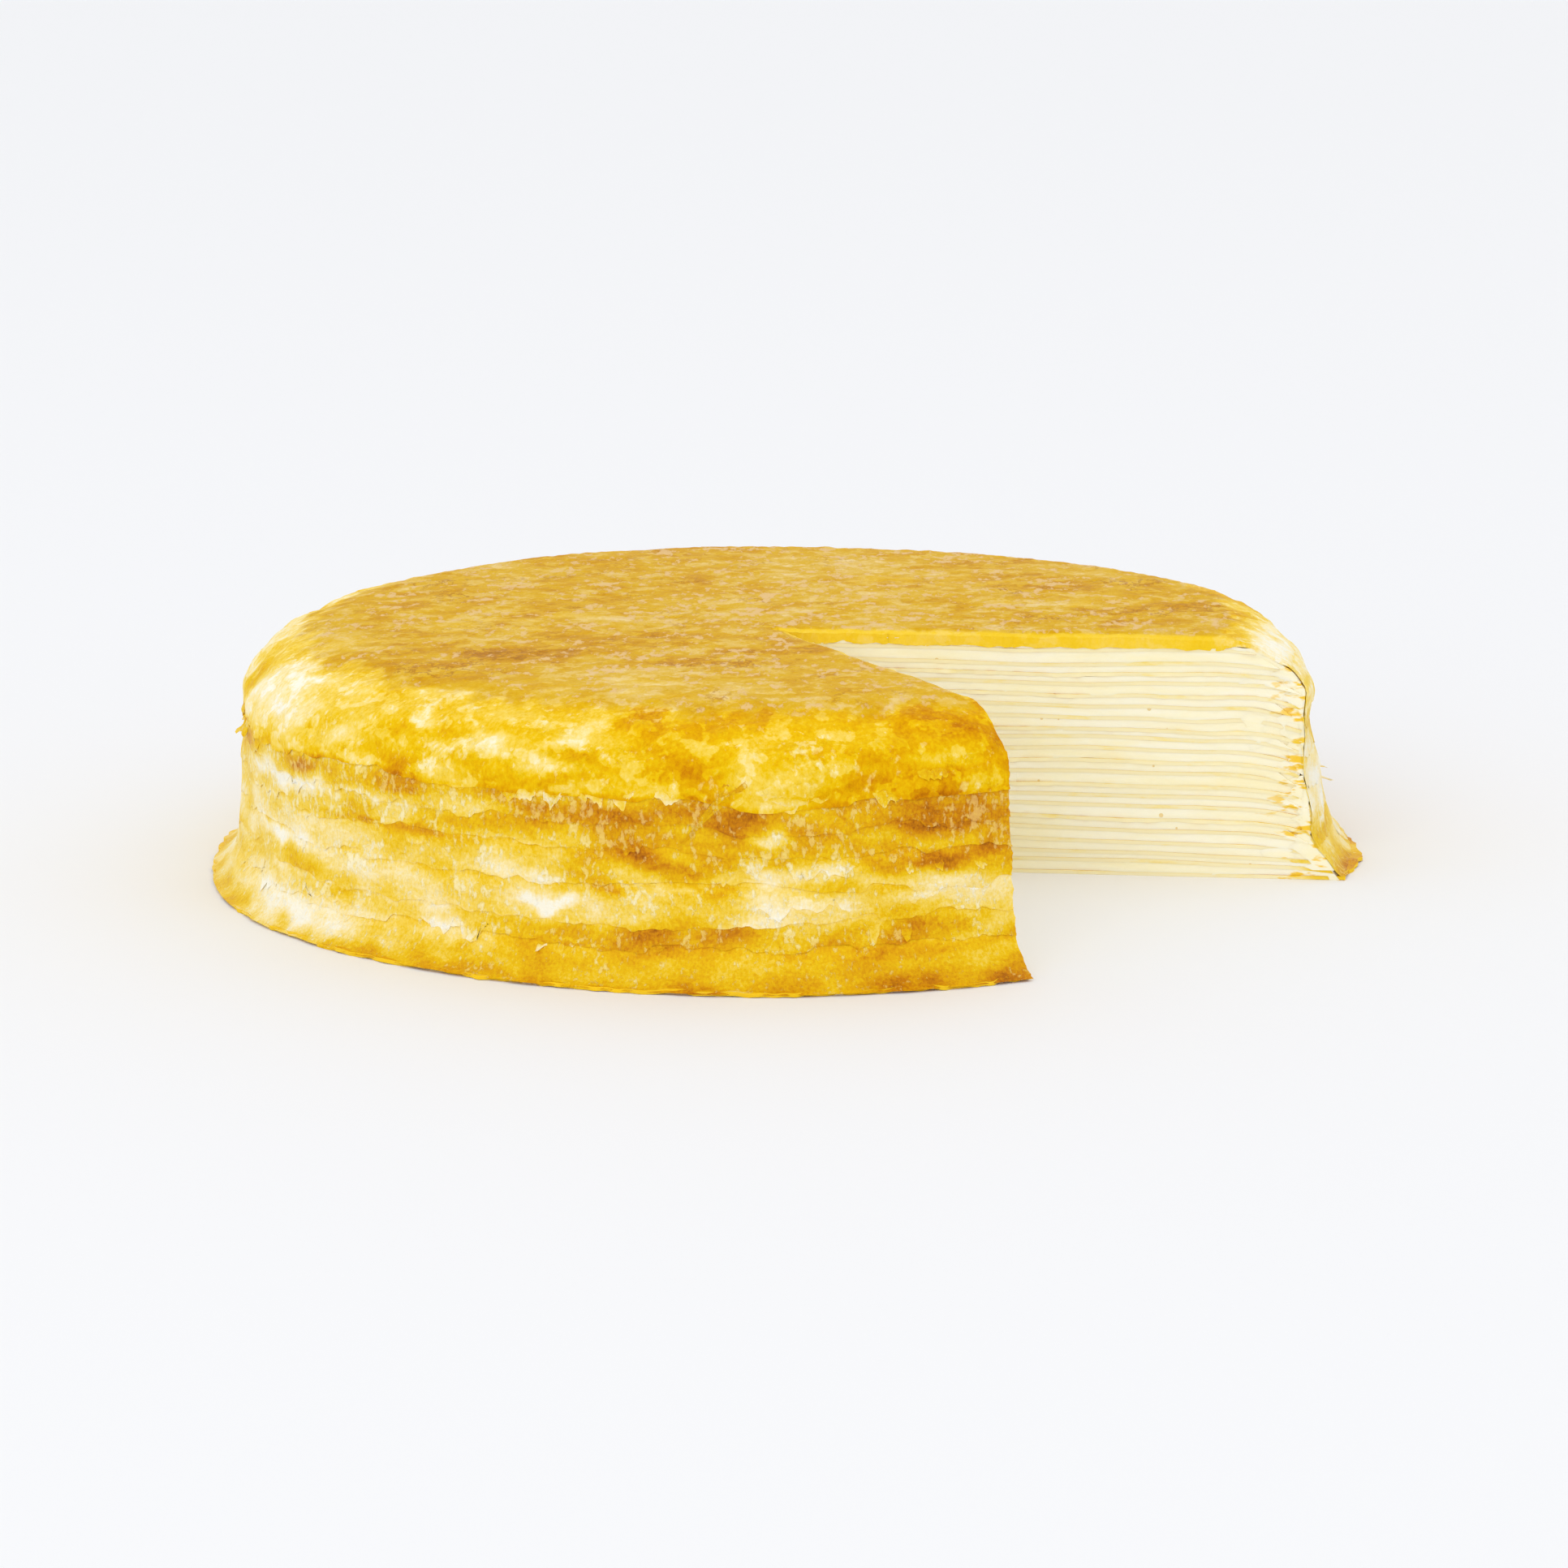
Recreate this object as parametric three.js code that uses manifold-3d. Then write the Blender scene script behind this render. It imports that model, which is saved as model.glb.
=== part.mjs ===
// A mille crepe cake with one slice taken out: thin round crepes stacked with pastry cream
// between them. Millimetres, +Z up. The origin is on the cake's axis, on the face that it
// rests on. The missing slice opens towards +X and -Y.
import * as THREE from 'three';
import { mergeVertices } from 'three/addons/utils/BufferGeometryUtils.js';
import Module from 'manifold-3d';

// ---- Driving dimensions ----
const CREPE_COUNT = 22;
const CAKE_HEIGHT = 51.6;
const CREPE_THICKNESS = 0.8;
const TOP_CREPE_THICKNESS = 1.6; // the caramelised crepe that covers the stack
const BODY_RADIUS = 115; // the side, at half height
const BASE_FLARE = 7.5; // how much further the lowest edges spread on the plate
const BASE_FLARE_HEIGHT = 5; // the height over which that spread fades
const SHOULDER_WIDTH = 25; // the top edge is rounded over this much radius
const SHOULDER_HEIGHT = 15.5; // and over this much height
const SHOULDER_SHARES = [0.16, 0.45, 0.78]; // where the top crepe's shoulder has a ring
const TOP_CREPE_SLOPE = 0.3; // the top falls this much from the axis to where it bends

// ---- The missing slice ----
const SLICE_APEX_Y = -19.5; // the two cuts meet in front of the axis
const FAR_CUT_DEGREES = -7.8;
const NEAR_CUT_DEGREES = -62.9;
const CUTTER_LENGTH = 200;
const CUTTER_BELOW = 10;
const CUTTER_HEIGHT = 80;

// ---- How the layers end at the side ----
const BEND_RADIUS = 94; // inside this radius every layer lies flat
const RIM_DROOP = 4.5; // how far a high layer sinks at its rim
const RIM_DROOP_FADE = 14; // low layers sink less, over this height
const INNER_SETBACK = 3.4; // a hidden crepe ends this far inside the side
const CREAM_SETBACK = 5.4; // and the cream ends a little before it
const CREAM_CLEARANCE = 0.15; // between cream and crepe where they bend
const BASE_CREPE_RADIUS = BODY_RADIUS + BASE_FLARE;

// ---- The crepes whose edges hang down and make the side ----
// Each hem is the height of the hanging edge above the plate.
const HEM_OF_CREPE = new Map([
  [22, 34.7],
  [19, 30],
  [17, 25],
  [14, 18.4],
  [11, 12],
  [9, 7],
  [6, 1.6],
]);
const HEM_THICKNESS = 0.7;
const SHOULDER_INSET = 0.98; // how far the top crepe's underside is inside its face by its hem
const SKIRT_TUCK = 1.8; // a skirt starts this far inside the side, and its hem ends on it
const SKIRT_TURN = 1.3; // the height in which a crepe turns down
const TOP_CREAM_HANG = 1.5; // the cream under the top crepe bulges over the crepe it rests on

// ---- Unevenness ----
const SEGMENTS = 34;
const OUTLINE_WAVES = [
  { lobes: 2, share: 0.006, phase: 0.6 },
  { lobes: 5, share: 0.004, phase: 2.1 },
];
// A hem's rise and fall, as shares of its skirt.
const HEM_WAVES = [
  { lobes: 3, share: 0.09, turn: 1 },
  { lobes: 7, share: 0.063, turn: 2.3 },
];
const PITCH_WAVES = [
  { rate: 2.3, share: 0.16, phase: 0 },
  { rate: 5.1, share: 0.1, phase: 1 },
];

const FINISHES = {
  top: { color: 0xdcae4a, roughness: 0.55 },
  side: { color: 0xe0a832, roughness: 0.55 },
  crepe: { color: 0xf0d890, roughness: 0.65 },
  cream: { color: 0xf8eecb, roughness: 0.5 },
};

const wasm = await Module();
wasm.setup();

// ---- The stack's heights ----

// Cream is spread by hand, so no two gaps are quite alike.
function gapShare(index) {
  return PITCH_WAVES.reduce(
    (sum, wave) => sum + wave.share * Math.sin(wave.rate * index + wave.phase),
    1,
  );
}

// The height of the underside of every crepe, from the plate to the top crepe.
function crepeLevels() {
  const levels = [0];
  for (let index = 1; index < CREPE_COUNT; index++) {
    levels.push(levels[index - 1] + gapShare(index));
  }
  const scale = (CAKE_HEIGHT - TOP_CREPE_THICKNESS) / levels[CREPE_COUNT - 1];
  return levels.map((level) => level * scale);
}

// The cake's outer radius at a height: upright, rounded into the top and flared at the base.
function sideRadius(height) {
  const intoShoulder = Math.max(0, height - (CAKE_HEIGHT - SHOULDER_HEIGHT));
  const share = Math.min(1, intoShoulder / SHOULDER_HEIGHT);
  const inset = SHOULDER_WIDTH * (1 - Math.sqrt(1 - share * share));
  const flare = BASE_FLARE * Math.exp(-height / BASE_FLARE_HEIGHT);
  return BODY_RADIUS - inset + flare;
}

// The same without the flare, which only the hanging edges follow.
function bodyRadius(height) {
  return sideRadius(height) - BASE_FLARE * Math.exp(-height / BASE_FLARE_HEIGHT);
}

// How far a layer whose flat part lies at this height has sunk at a radius.
function droop(height, radius) {
  const most = RIM_DROOP * (1 - Math.exp(-height / RIM_DROOP_FADE));
  const share = Math.max(0, radius - BEND_RADIUS) / (BODY_RADIUS - INNER_SETBACK - BEND_RADIUS);
  return most * share;
}

// ---- Profiles: [radius, height] from the axis outwards over the top and back below ----

function hiddenCrepeProfile(level) {
  const top = level + CREPE_THICKNESS;
  const rim = bodyRadius(level) - INNER_SETBACK;
  return [
    [0, top],
    [BEND_RADIUS, top],
    [rim, top - droop(level, rim)],
    [rim, level - droop(level, rim)],
    [BEND_RADIUS, level],
    [0, level],
  ];
}

function baseCrepeProfile() {
  return [
    [0, CREPE_THICKNESS],
    [BEND_RADIUS, CREPE_THICKNESS],
    [BASE_CREPE_RADIUS, CREPE_THICKNESS],
    [BASE_CREPE_RADIUS, 0],
    [BEND_RADIUS, 0],
    [0, 0],
  ];
}

function creamProfile(below, above) {
  const rim = bodyRadius(above) - CREAM_SETBACK;
  return [
    [0, above],
    [BEND_RADIUS, above],
    [rim, above - droop(above, rim) - CREAM_CLEARANCE],
    [rim, below - droop(below - CREPE_THICKNESS, rim) + CREAM_CLEARANCE],
    [BEND_RADIUS, below],
    [0, below],
  ];
}

// The outer end of a crepe's upper face, where the crepe stops or turns down.
function rimOf(level) {
  const radius = bodyRadius(level) - INNER_SETBACK;
  return { radius, top: level + CREPE_THICKNESS - droop(level, radius) };
}

// The cream under the top crepe also fills the rounded shoulder. It goes round the ends of
// the next two crepes and rests on the one below them.
function topCreamProfile(levels) {
  const [resting, shorter, longer, above] = levels.slice(-4);
  const foot = rimOf(resting);
  const ends = [rimOf(shorter), rimOf(longer)];
  const footHeight = (radius) =>
    resting + CREPE_THICKNESS - droop(resting, radius) + CREAM_CLEARANCE;
  const innerRadius = ends[0].radius + 2 * CREAM_CLEARANCE;
  const underTop = topCrepeUnderside(HEM_OF_CREPE.get(CREPE_COUNT))
    .filter(([, height]) => height > foot.top + CREAM_CLEARANCE)
    .map(([radius, height]) => [radius - CREAM_CLEARANCE, height - CREAM_CLEARANCE]);
  return [
    [0, above],
    [BEND_RADIUS, above],
    ...underTop,
    [foot.radius + TOP_CREAM_HANG, footHeight(foot.radius) - TOP_CREAM_HANG / 2],
    [foot.radius, footHeight(foot.radius)],
    [innerRadius, footHeight(innerRadius)],
    ...ends.map(({ radius, top }) => [radius + 2 * CREAM_CLEARANCE, top]),
    [BEND_RADIUS, longer + CREPE_THICKNESS],
    [0, longer + CREPE_THICKNESS],
  ];
}

// A crepe that is larger than the stack: it lies flat, sinks, turns and hangs to its hem.
function skirtProfile(level, hem) {
  const top = level + CREPE_THICKNESS;
  const rim = bodyRadius(level) - INNER_SETBACK;
  const turned = level - droop(level, rim) - SKIRT_TURN;
  const shoulder = bodyRadius(turned) - SKIRT_TUCK;
  return [
    [0, top],
    [BEND_RADIUS, top],
    [rim, top - droop(level, rim)],
    [shoulder, turned],
    [sideRadius(hem), hem],
    [sideRadius(hem) - HEM_THICKNESS, hem],
    [shoulder - HEM_THICKNESS, turned - HEM_THICKNESS],
    [rim - HEM_THICKNESS, level - droop(level, rim - HEM_THICKNESS)],
    [BEND_RADIUS, level],
    [0, level],
  ];
}

// The rounded shoulder of the top crepe, from its bend to just above its hem.
function topCrepeShoulder(hem) {
  return SHOULDER_SHARES.map((share) => {
    const height = CAKE_HEIGHT - share * (CAKE_HEIGHT - hem);
    return [sideRadius(height), height];
  });
}

// Its underside, which thins from the flat part's thickness to the hem's.
function topCrepeUnderside(hem) {
  return topCrepeShoulder(hem).map(([radius, height], index) => {
    const sideways = (index + 1) / (SHOULDER_SHARES.length + 1);
    return [radius - SHOULDER_INSET * sideways, height - TOP_CREPE_THICKNESS * (1 - sideways)];
  });
}

function topCrepeProfile(level, hem) {
  return [
    [0, CAKE_HEIGHT],
    [BEND_RADIUS, CAKE_HEIGHT - TOP_CREPE_SLOPE],
    ...topCrepeShoulder(hem),
    [sideRadius(hem), hem],
    [sideRadius(hem) - HEM_THICKNESS, hem],
    ...topCrepeUnderside(hem).reverse(),
    [BEND_RADIUS, level],
    [0, level],
  ];
}

// ---- From a profile to a solid ----

// The outline is a little lobed, the same in every layer, so that the layers stay nested.
function outlineShare(angle) {
  return OUTLINE_WAVES.reduce(
    (sum, wave) => sum + wave.share * Math.sin(wave.lobes * angle + wave.phase),
    1,
  );
}

// How far a hem is drawn up at an angle, as a share of its skirt. It never hangs lower.
function hemShare(angle, seed) {
  return HEM_WAVES.reduce(
    (sum, wave) => sum + wave.share * (1 + Math.sin(wave.lobes * angle + wave.turn * seed)),
    0,
  );
}

// Turns a profile round the axis. A skirt's hem points slide along the skirt, so the hem waves.
function turned(profile, hemPoints, seed) {
  const points = profile.map(([radius, height]) => new THREE.Vector2(radius, height));
  const geometry = new THREE.LatheGeometry(points.reverse(), SEGMENTS);
  geometry.rotateX(Math.PI / 2);
  const position = geometry.getAttribute('position');
  for (let segment = 0; segment <= SEGMENTS; segment++) {
    const angle = ((segment % SEGMENTS) / SEGMENTS) * 2 * Math.PI;
    for (let point = 0; point < points.length; point++) {
      const place = points[point].clone();
      if (hemPoints.has(point)) {
        const anchor = points[hemPoints.get(point)];
        place.lerp(anchor, hemShare(angle, seed));
      }
      const radius = place.x * outlineShare(angle);
      position.setXYZ(
        segment * points.length + point,
        radius * Math.cos(angle),
        radius * Math.sin(angle),
        place.y,
      );
    }
  }
  return geometry;
}

// A closed manifold solid of a geometry, with shared corners merged and empty faces dropped.
function solidOf(geometry) {
  geometry.deleteAttribute('normal');
  geometry.deleteAttribute('uv');
  const merged = mergeVertices(geometry);
  const corners = merged.getIndex().array;
  const faces = [];
  for (let start = 0; start < corners.length; start += 3) {
    const [a, b, c] = corners.slice(start, start + 3);
    if (a !== b && b !== c && c !== a) faces.push(a, b, c);
  }
  const mesh = new wasm.Mesh({
    numProp: 3,
    vertProperties: new Float32Array(merged.getAttribute('position').array),
    triVerts: new Uint32Array(faces),
  });
  return new wasm.Manifold(mesh);
}

function geometryOf(solid) {
  const mesh = solid.getMesh();
  const geometry = new THREE.BufferGeometry();
  geometry.setAttribute('position', new THREE.BufferAttribute(mesh.vertProperties, mesh.numProp));
  geometry.setIndex(new THREE.BufferAttribute(mesh.triVerts, 1));
  geometry.computeVertexNormals();
  return geometry;
}

// The slice that is gone, as a tall prism between the two cuts.
function sliceCutter() {
  const apex = new THREE.Vector2(0, SLICE_APEX_Y);
  const corner = (degrees) => {
    const angle = THREE.MathUtils.degToRad(degrees);
    const along = new THREE.Vector2(Math.cos(angle), Math.sin(angle));
    return apex.clone().addScaledVector(along, CUTTER_LENGTH);
  };
  const shape = new THREE.Shape([apex, corner(NEAR_CUT_DEGREES), corner(FAR_CUT_DEGREES)]);
  const prism = new THREE.ExtrudeGeometry(shape, { depth: CUTTER_HEIGHT, bevelEnabled: false });
  prism.translate(0, 0, -CUTTER_BELOW);
  return solidOf(prism);
}

const cutter = sliceCutter();

function layer(name, profile, finish, hemPoints = new Map(), seed = 0) {
  const whole = solidOf(turned(profile, hemPoints, seed));
  const material = new THREE.MeshStandardMaterial({ ...finish, metalness: 0 });
  const mesh = new THREE.Mesh(geometryOf(whole.subtract(cutter)), material);
  mesh.name = name;
  return mesh;
}

// ---- The cake ----

const twoDigits = (number) => String(number).padStart(2, '0');

// The two hem points of a skirt slide towards the points above them.
function hemSlides(pointCount) {
  const inner = pointCount / 2 - 1;
  const outer = pointCount / 2;
  return new Map([
    [inner, inner - 1],
    [outer, outer + 1],
  ]);
}

function crepe(number, level) {
  const name = `crepe_${twoDigits(number)}`;
  if (number === 1) return layer(name, baseCrepeProfile(), FINISHES.side);
  const hem = HEM_OF_CREPE.get(number);
  if (hem === undefined) return layer(name, hiddenCrepeProfile(level), FINISHES.crepe);
  const isTop = number === CREPE_COUNT;
  const profile = isTop ? topCrepeProfile(level, hem) : skirtProfile(level, hem);
  const finish = isTop ? FINISHES.top : FINISHES.side;
  return layer(name, profile, finish, hemSlides(profile.length), number);
}

const levels = crepeLevels();
const group = new THREE.Group();
for (let number = 1; number <= CREPE_COUNT; number++) {
  group.add(crepe(number, levels[number - 1]));
}
for (let number = 1; number < CREPE_COUNT; number++) {
  const below = levels[number - 1] + CREPE_THICKNESS;
  const isTop = number === CREPE_COUNT - 1;
  const profile = isTop ? topCreamProfile(levels) : creamProfile(below, levels[number]);
  group.add(layer(`cream_${twoDigits(number)}`, profile, FINISHES.cream));
}

export default group;
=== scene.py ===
# %% [markdown]
# # A mille crepe cake with a slice taken out
#
# Twenty-two thin crepes are stacked with pastry cream between them. Most crepes end just inside
# the side. A few larger ones hang down over it, one above another, so the side is made of
# overlapping ragged hems. One browned crepe covers the top and the rounded edge.
#
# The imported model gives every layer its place. Each layer is made again here with a finer
# surface, and stands for the plain solid of the same number.

# %% The frame and the cake's measures
import math

import bpy
import numpy as np
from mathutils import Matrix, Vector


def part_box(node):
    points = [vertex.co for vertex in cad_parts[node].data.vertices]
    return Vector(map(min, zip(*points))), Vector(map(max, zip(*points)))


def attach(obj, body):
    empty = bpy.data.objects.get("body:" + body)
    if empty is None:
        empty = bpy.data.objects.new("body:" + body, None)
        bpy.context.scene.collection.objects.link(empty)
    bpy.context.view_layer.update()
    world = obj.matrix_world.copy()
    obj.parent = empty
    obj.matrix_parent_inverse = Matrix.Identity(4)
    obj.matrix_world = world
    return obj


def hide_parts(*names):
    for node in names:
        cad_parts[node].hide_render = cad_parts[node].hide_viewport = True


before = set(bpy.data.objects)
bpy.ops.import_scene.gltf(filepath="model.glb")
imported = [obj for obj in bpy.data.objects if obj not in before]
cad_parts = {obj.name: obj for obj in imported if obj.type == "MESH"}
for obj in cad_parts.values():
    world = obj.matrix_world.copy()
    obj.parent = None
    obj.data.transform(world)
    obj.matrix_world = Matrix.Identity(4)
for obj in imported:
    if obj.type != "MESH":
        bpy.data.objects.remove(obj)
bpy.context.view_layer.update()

MM = 0.001
CREPE_COUNT = 22
HANGING_CREPES = (6, 9, 11, 14, 17, 19)
CAKE_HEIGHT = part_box("crepe_22")[1].z / MM
CREPE_THICKNESS = 0.8
TOP_CREPE_THICKNESS = CAKE_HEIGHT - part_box("cream_21")[1].z / MM


def level_of(number):
    """The height of the underside of a crepe's flat part, in millimetres."""
    if number == CREPE_COUNT:
        return CAKE_HEIGHT - TOP_CREPE_THICKNESS
    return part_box(f"crepe_{number:02d}")[1].z / MM - CREPE_THICKNESS


def hem_of(number):
    """The height of the lowest edge of a crepe that hangs down, in millimetres."""
    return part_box(f"crepe_{number:02d}")[0].z / MM


LEVELS = {number: level_of(number) for number in range(1, CREPE_COUNT + 1)}
print("cake height", round(CAKE_HEIGHT, 2), "mm, crepes", len(LEVELS))

# %% [markdown]
# ## The camera
#
# A cake shows its layers best from just above the table, with a long lens that keeps its round
# edge calm. The camera comes first, so that every later piece can be judged through it.

# %% Camera
CAMERA_PLACE = (0.0006, -0.8311, 0.1996)
CAMERA_TILT = math.radians(77.39)
CAMERA_ROLL = math.radians(-0.485)
CAMERA_LENS = 90.29

camera_data = bpy.data.cameras.new("camera")
camera_data.lens = CAMERA_LENS
camera_data.sensor_width = 36.0
camera = bpy.data.objects.new("camera", camera_data)
camera.location = CAMERA_PLACE
camera.rotation_mode = "ZYX"
camera.rotation_euler = (CAMERA_TILT, 0.0, CAMERA_ROLL)
bpy.context.scene.collection.objects.link(camera)
bpy.context.scene.camera = camera

# %% [markdown]
# ## The cake's round body
#
# The side is upright, rounds into the top over a wide shoulder, and spreads at the plate. One
# formula gives the radius at each height, and every layer reads it, so the layers stay nested.
# The outline is also a little lobed, as a cake stacked by hand is.

# %% The side's radius, the outline and how far the layers sink at their rims
BODY_RADIUS = 115.0
BASE_FLARE = 7.5
BASE_FLARE_HEIGHT = 5.0
SHOULDER_WIDTH = 25.0
SHOULDER_HEIGHT = 15.5
BEND_RADIUS = 94.0
INNER_SETBACK = 3.4
RIM_DROOP = 1.5
RIM_DROOP_FADE = 14.0
DROOP_CURVE = 3.5
# How often the outline waves, how strongly, and where the wave starts.
OUTLINE_WAVES = ((2, 0.006, 0.6), (5, 0.004, 2.1))


def body_radius(height):
    """The radius of the side at a height, without the spread at the plate."""
    share = np.clip((height - (CAKE_HEIGHT - SHOULDER_HEIGHT)) / SHOULDER_HEIGHT, 0, 1)
    return BODY_RADIUS - SHOULDER_WIDTH * (1 - np.sqrt(1 - share * share))


def side_radius(height):
    """The radius of the side at a height, with the spread at the plate."""
    return body_radius(height) + BASE_FLARE * np.exp(-np.asarray(height) / BASE_FLARE_HEIGHT)


def outline_share(angle):
    """How much wider or narrower than a true circle the cake is at an angle."""
    return 1 + sum(share * np.sin(lobes * angle + phase) for lobes, share, phase in OUTLINE_WAVES)


def droop(level, radius):
    """How far a layer has sunk at a radius, because nothing holds its rim up."""
    most = RIM_DROOP * (1 - math.exp(-level / RIM_DROOP_FADE))
    reach = BODY_RADIUS - INNER_SETBACK - BEND_RADIUS
    share = np.maximum(0, np.asarray(radius, float) - BEND_RADIUS) / reach
    return most * share ** DROOP_CURVE


# %% [markdown]
# ## Unevenness
#
# Nothing in a hand-made cake is exactly level or round. A sum of a few sine waves in random
# directions gives smooth lumps of any size. It depends on the place alone, so two layers that
# touch are moved alike and never cut through each other. A fixed seed keeps it the same each time.

# %% Smooth lumps
WAVE_COUNT = 28


def lumps(points, size, seed, stretch=(1, 1, 1)):
    """A smooth random field with lumps of about that size in millimetres, mostly within -2 and 2."""
    draw = np.random.default_rng(seed)
    total = np.zeros(len(points))
    for _ in range(WAVE_COUNT):
        direction = draw.normal(size=3)
        direction /= np.linalg.norm(direction)
        rate = 2 * math.pi / size * draw.uniform(0.55, 1.5)
        wave = direction * rate / np.array(stretch)
        total += np.sin(points @ wave + draw.uniform(0, 2 * math.pi))
    return total / math.sqrt(WAVE_COUNT / 2)


def polar(points):
    """How far points lie from the cake's axis, and at which angle."""
    return np.hypot(points[:, 0], points[:, 1]), np.arctan2(points[:, 1], points[:, 0])


def at_angle(radius, angle, height):
    """Points at a distance from the axis, an angle and a height."""
    return np.column_stack([radius * np.cos(angle), radius * np.sin(angle), height])


def on_circle(angle):
    """Points round the cake, for lumps that depend on the angle alone."""
    return at_angle(BODY_RADIUS, angle, np.zeros(len(angle)))


def push_out(points, amount):
    """Moves points away from the cake's axis, or towards it where the amount is below zero."""
    points[:, :2] *= (1 + amount / np.maximum(polar(points)[0], 1))[:, None]


def smooth_step(value, low, high):
    """Rises from nothing at the low value to one at the high value, without a kink."""
    share = np.clip((value - low) / (high - low), 0, 1)
    return share * share * (3 - 2 * share)


# %% [markdown]
# ## How a layer is made
#
# A crepe is a round sheet, so it is turned like a pot on a wheel: one point is extruded along the
# crepe's section, and the line is turned round the cake's axis. Spin does that in edit mode, but
# it is slow with hundreds of steps, so the Screw modifier turns the line here, without any rise.
# Each point of the sheet then knows which row of the section it belongs to and its angle, and is
# moved to its final, uneven place. A wall comes last, so that both faces stay parallel.

# %% Turning a section into a sheet
def select_only(piece):
    bpy.ops.object.select_all(action="DESELECT")
    piece.select_set(True)
    bpy.context.view_layer.objects.active = piece


def section_line(name, section):
    """A line of edges through the section's (radius, height) points, in millimetres."""
    bpy.ops.object.select_all(action="DESELECT")
    bpy.context.tool_settings.mesh_select_mode = (True, False, False)
    first = section[0]
    bpy.ops.mesh.primitive_plane_add(size=MM, location=(first[0] * MM, 0, first[1] * MM))
    piece = bpy.context.object
    piece.name = name
    bpy.ops.object.transform_apply(location=True, rotation=True, scale=True)
    bpy.ops.object.mode_set(mode="EDIT")
    bpy.ops.mesh.select_all(action="SELECT")
    bpy.ops.mesh.merge(type="CENTER")
    for before, after in zip(section[:-1], section[1:]):
        step = ((after[0] - before[0]) * MM, 0, (after[1] - before[1]) * MM)
        bpy.ops.mesh.extrude_vertices_move(TRANSFORM_OT_translate={"value": step})
    return piece


def turned_sheet(name, section, segments):
    """The section turned round the axis into one sheet, with its faces up and out."""
    piece = section_line(name, section)
    bpy.ops.object.mode_set(mode="OBJECT")
    bpy.ops.object.modifier_add(type="SCREW")
    turn = piece.modifiers[-1]
    turn.axis = "Z"
    turn.angle = 2 * math.pi
    turn.steps = segments
    turn.render_steps = segments
    bpy.ops.object.modifier_apply(modifier=turn.name)
    bpy.ops.object.mode_set(mode="EDIT")
    bpy.ops.mesh.select_all(action="SELECT")
    bpy.ops.mesh.remove_doubles(threshold=0.01 * MM)
    bpy.ops.mesh.normals_make_consistent(inside=False)
    bpy.ops.object.mode_set(mode="OBJECT")
    ups = np.empty(len(piece.data.polygons) * 3)
    piece.data.polygons.foreach_get("normal", ups)
    if ups[2::3].sum() < 0:
        bpy.ops.object.mode_set(mode="EDIT")
        bpy.ops.mesh.select_all(action="SELECT")
        bpy.ops.mesh.flip_normals()
        bpy.ops.object.mode_set(mode="OBJECT")
    return piece


def points_of(piece):
    """The mesh's points in millimetres."""
    flat = np.empty(len(piece.data.vertices) * 3)
    piece.data.vertices.foreach_get("co", flat)
    return flat.reshape(-1, 3) / MM


def move_points(piece, points):
    piece.data.vertices.foreach_set("co", (points * MM).ravel())
    piece.data.update()


BATCH = 4000


def rows_of(points, section):
    """Which point of the section each mesh point was turned from. Batches save memory."""
    radius = polar(points)[0]
    section = np.asarray(section)
    rows = np.empty(len(points), int)
    for start in range(0, len(points), BATCH):
        part = slice(start, start + BATCH)
        apart = np.abs(radius[part, None] - section[None, :, 0])
        apart += np.abs(points[part, 2][:, None] - section[None, :, 1])
        rows[part] = apart.argmin(axis=1)
    return rows


# %% [markdown]
# ## Taking the slice out
#
# A knife makes two upright cuts that meet a little in front of the middle. Each sheet is bisected
# along both planes, only on the side where the slice is, and the faces between the cuts are
# deleted. A recess cuts a piece further back than the others, and below zero lets it stand proud.

# %% The two cuts
SLICE_APEX = np.array([0.0, -19.5])
FAR_CUT = math.radians(-7.8)
NEAR_CUT = math.radians(-62.9)
CUT_REACH = 16
BEHIND_APEX = 4


def upright_cut(turn, side):
    """The way along a cut, and the way across it into the missing slice."""
    across = (side * math.sin(turn), -side * math.cos(turn))
    return {"along": (math.cos(turn), math.sin(turn)), "into": across}


CUTS = (upright_cut(FAR_CUT, 1), upright_cut(NEAR_CUT, -1))


def past_cut(points, cut):
    """How far points lie beyond a cut, into the missing slice."""
    return (points[:, :2] - SLICE_APEX) @ np.array(cut["into"])


def along_cut(points, cut):
    """How far points lie out from where the cuts meet."""
    return (points[:, :2] - SLICE_APEX) @ np.array(cut["along"])


def face_centres(piece):
    flat = np.empty(len(piece.data.polygons) * 3)
    piece.data.polygons.foreach_get("center", flat)
    return flat.reshape(-1, 3) / MM


def edit_faces(piece, chosen):
    """Goes to edit mode with only the chosen faces selected."""
    select_only(piece)
    bpy.context.tool_settings.mesh_select_mode = (False, False, True)
    piece.data.vertices.foreach_set("select", np.zeros(len(piece.data.vertices), bool))
    piece.data.edges.foreach_set("select", np.zeros(len(piece.data.edges), bool))
    piece.data.polygons.foreach_set("select", chosen)
    bpy.ops.object.mode_set(mode="EDIT")


def bisect_near(piece, cut, offset):
    """Bisects the faces near one cut along a plane parallel with it."""
    centres = face_centres(piece)
    near = np.abs(past_cut(centres, cut) - offset) < CUT_REACH
    near &= along_cut(centres, cut) > -BEHIND_APEX
    edit_faces(piece, near)
    across = np.array(cut["into"]) * offset
    place = ((SLICE_APEX[0] + across[0]) * MM, (SLICE_APEX[1] + across[1]) * MM, 0)
    bpy.ops.mesh.bisect(plane_co=place, plane_no=(*cut["into"], 0), threshold=0.001 * MM)
    bpy.ops.object.mode_set(mode="OBJECT")


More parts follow.
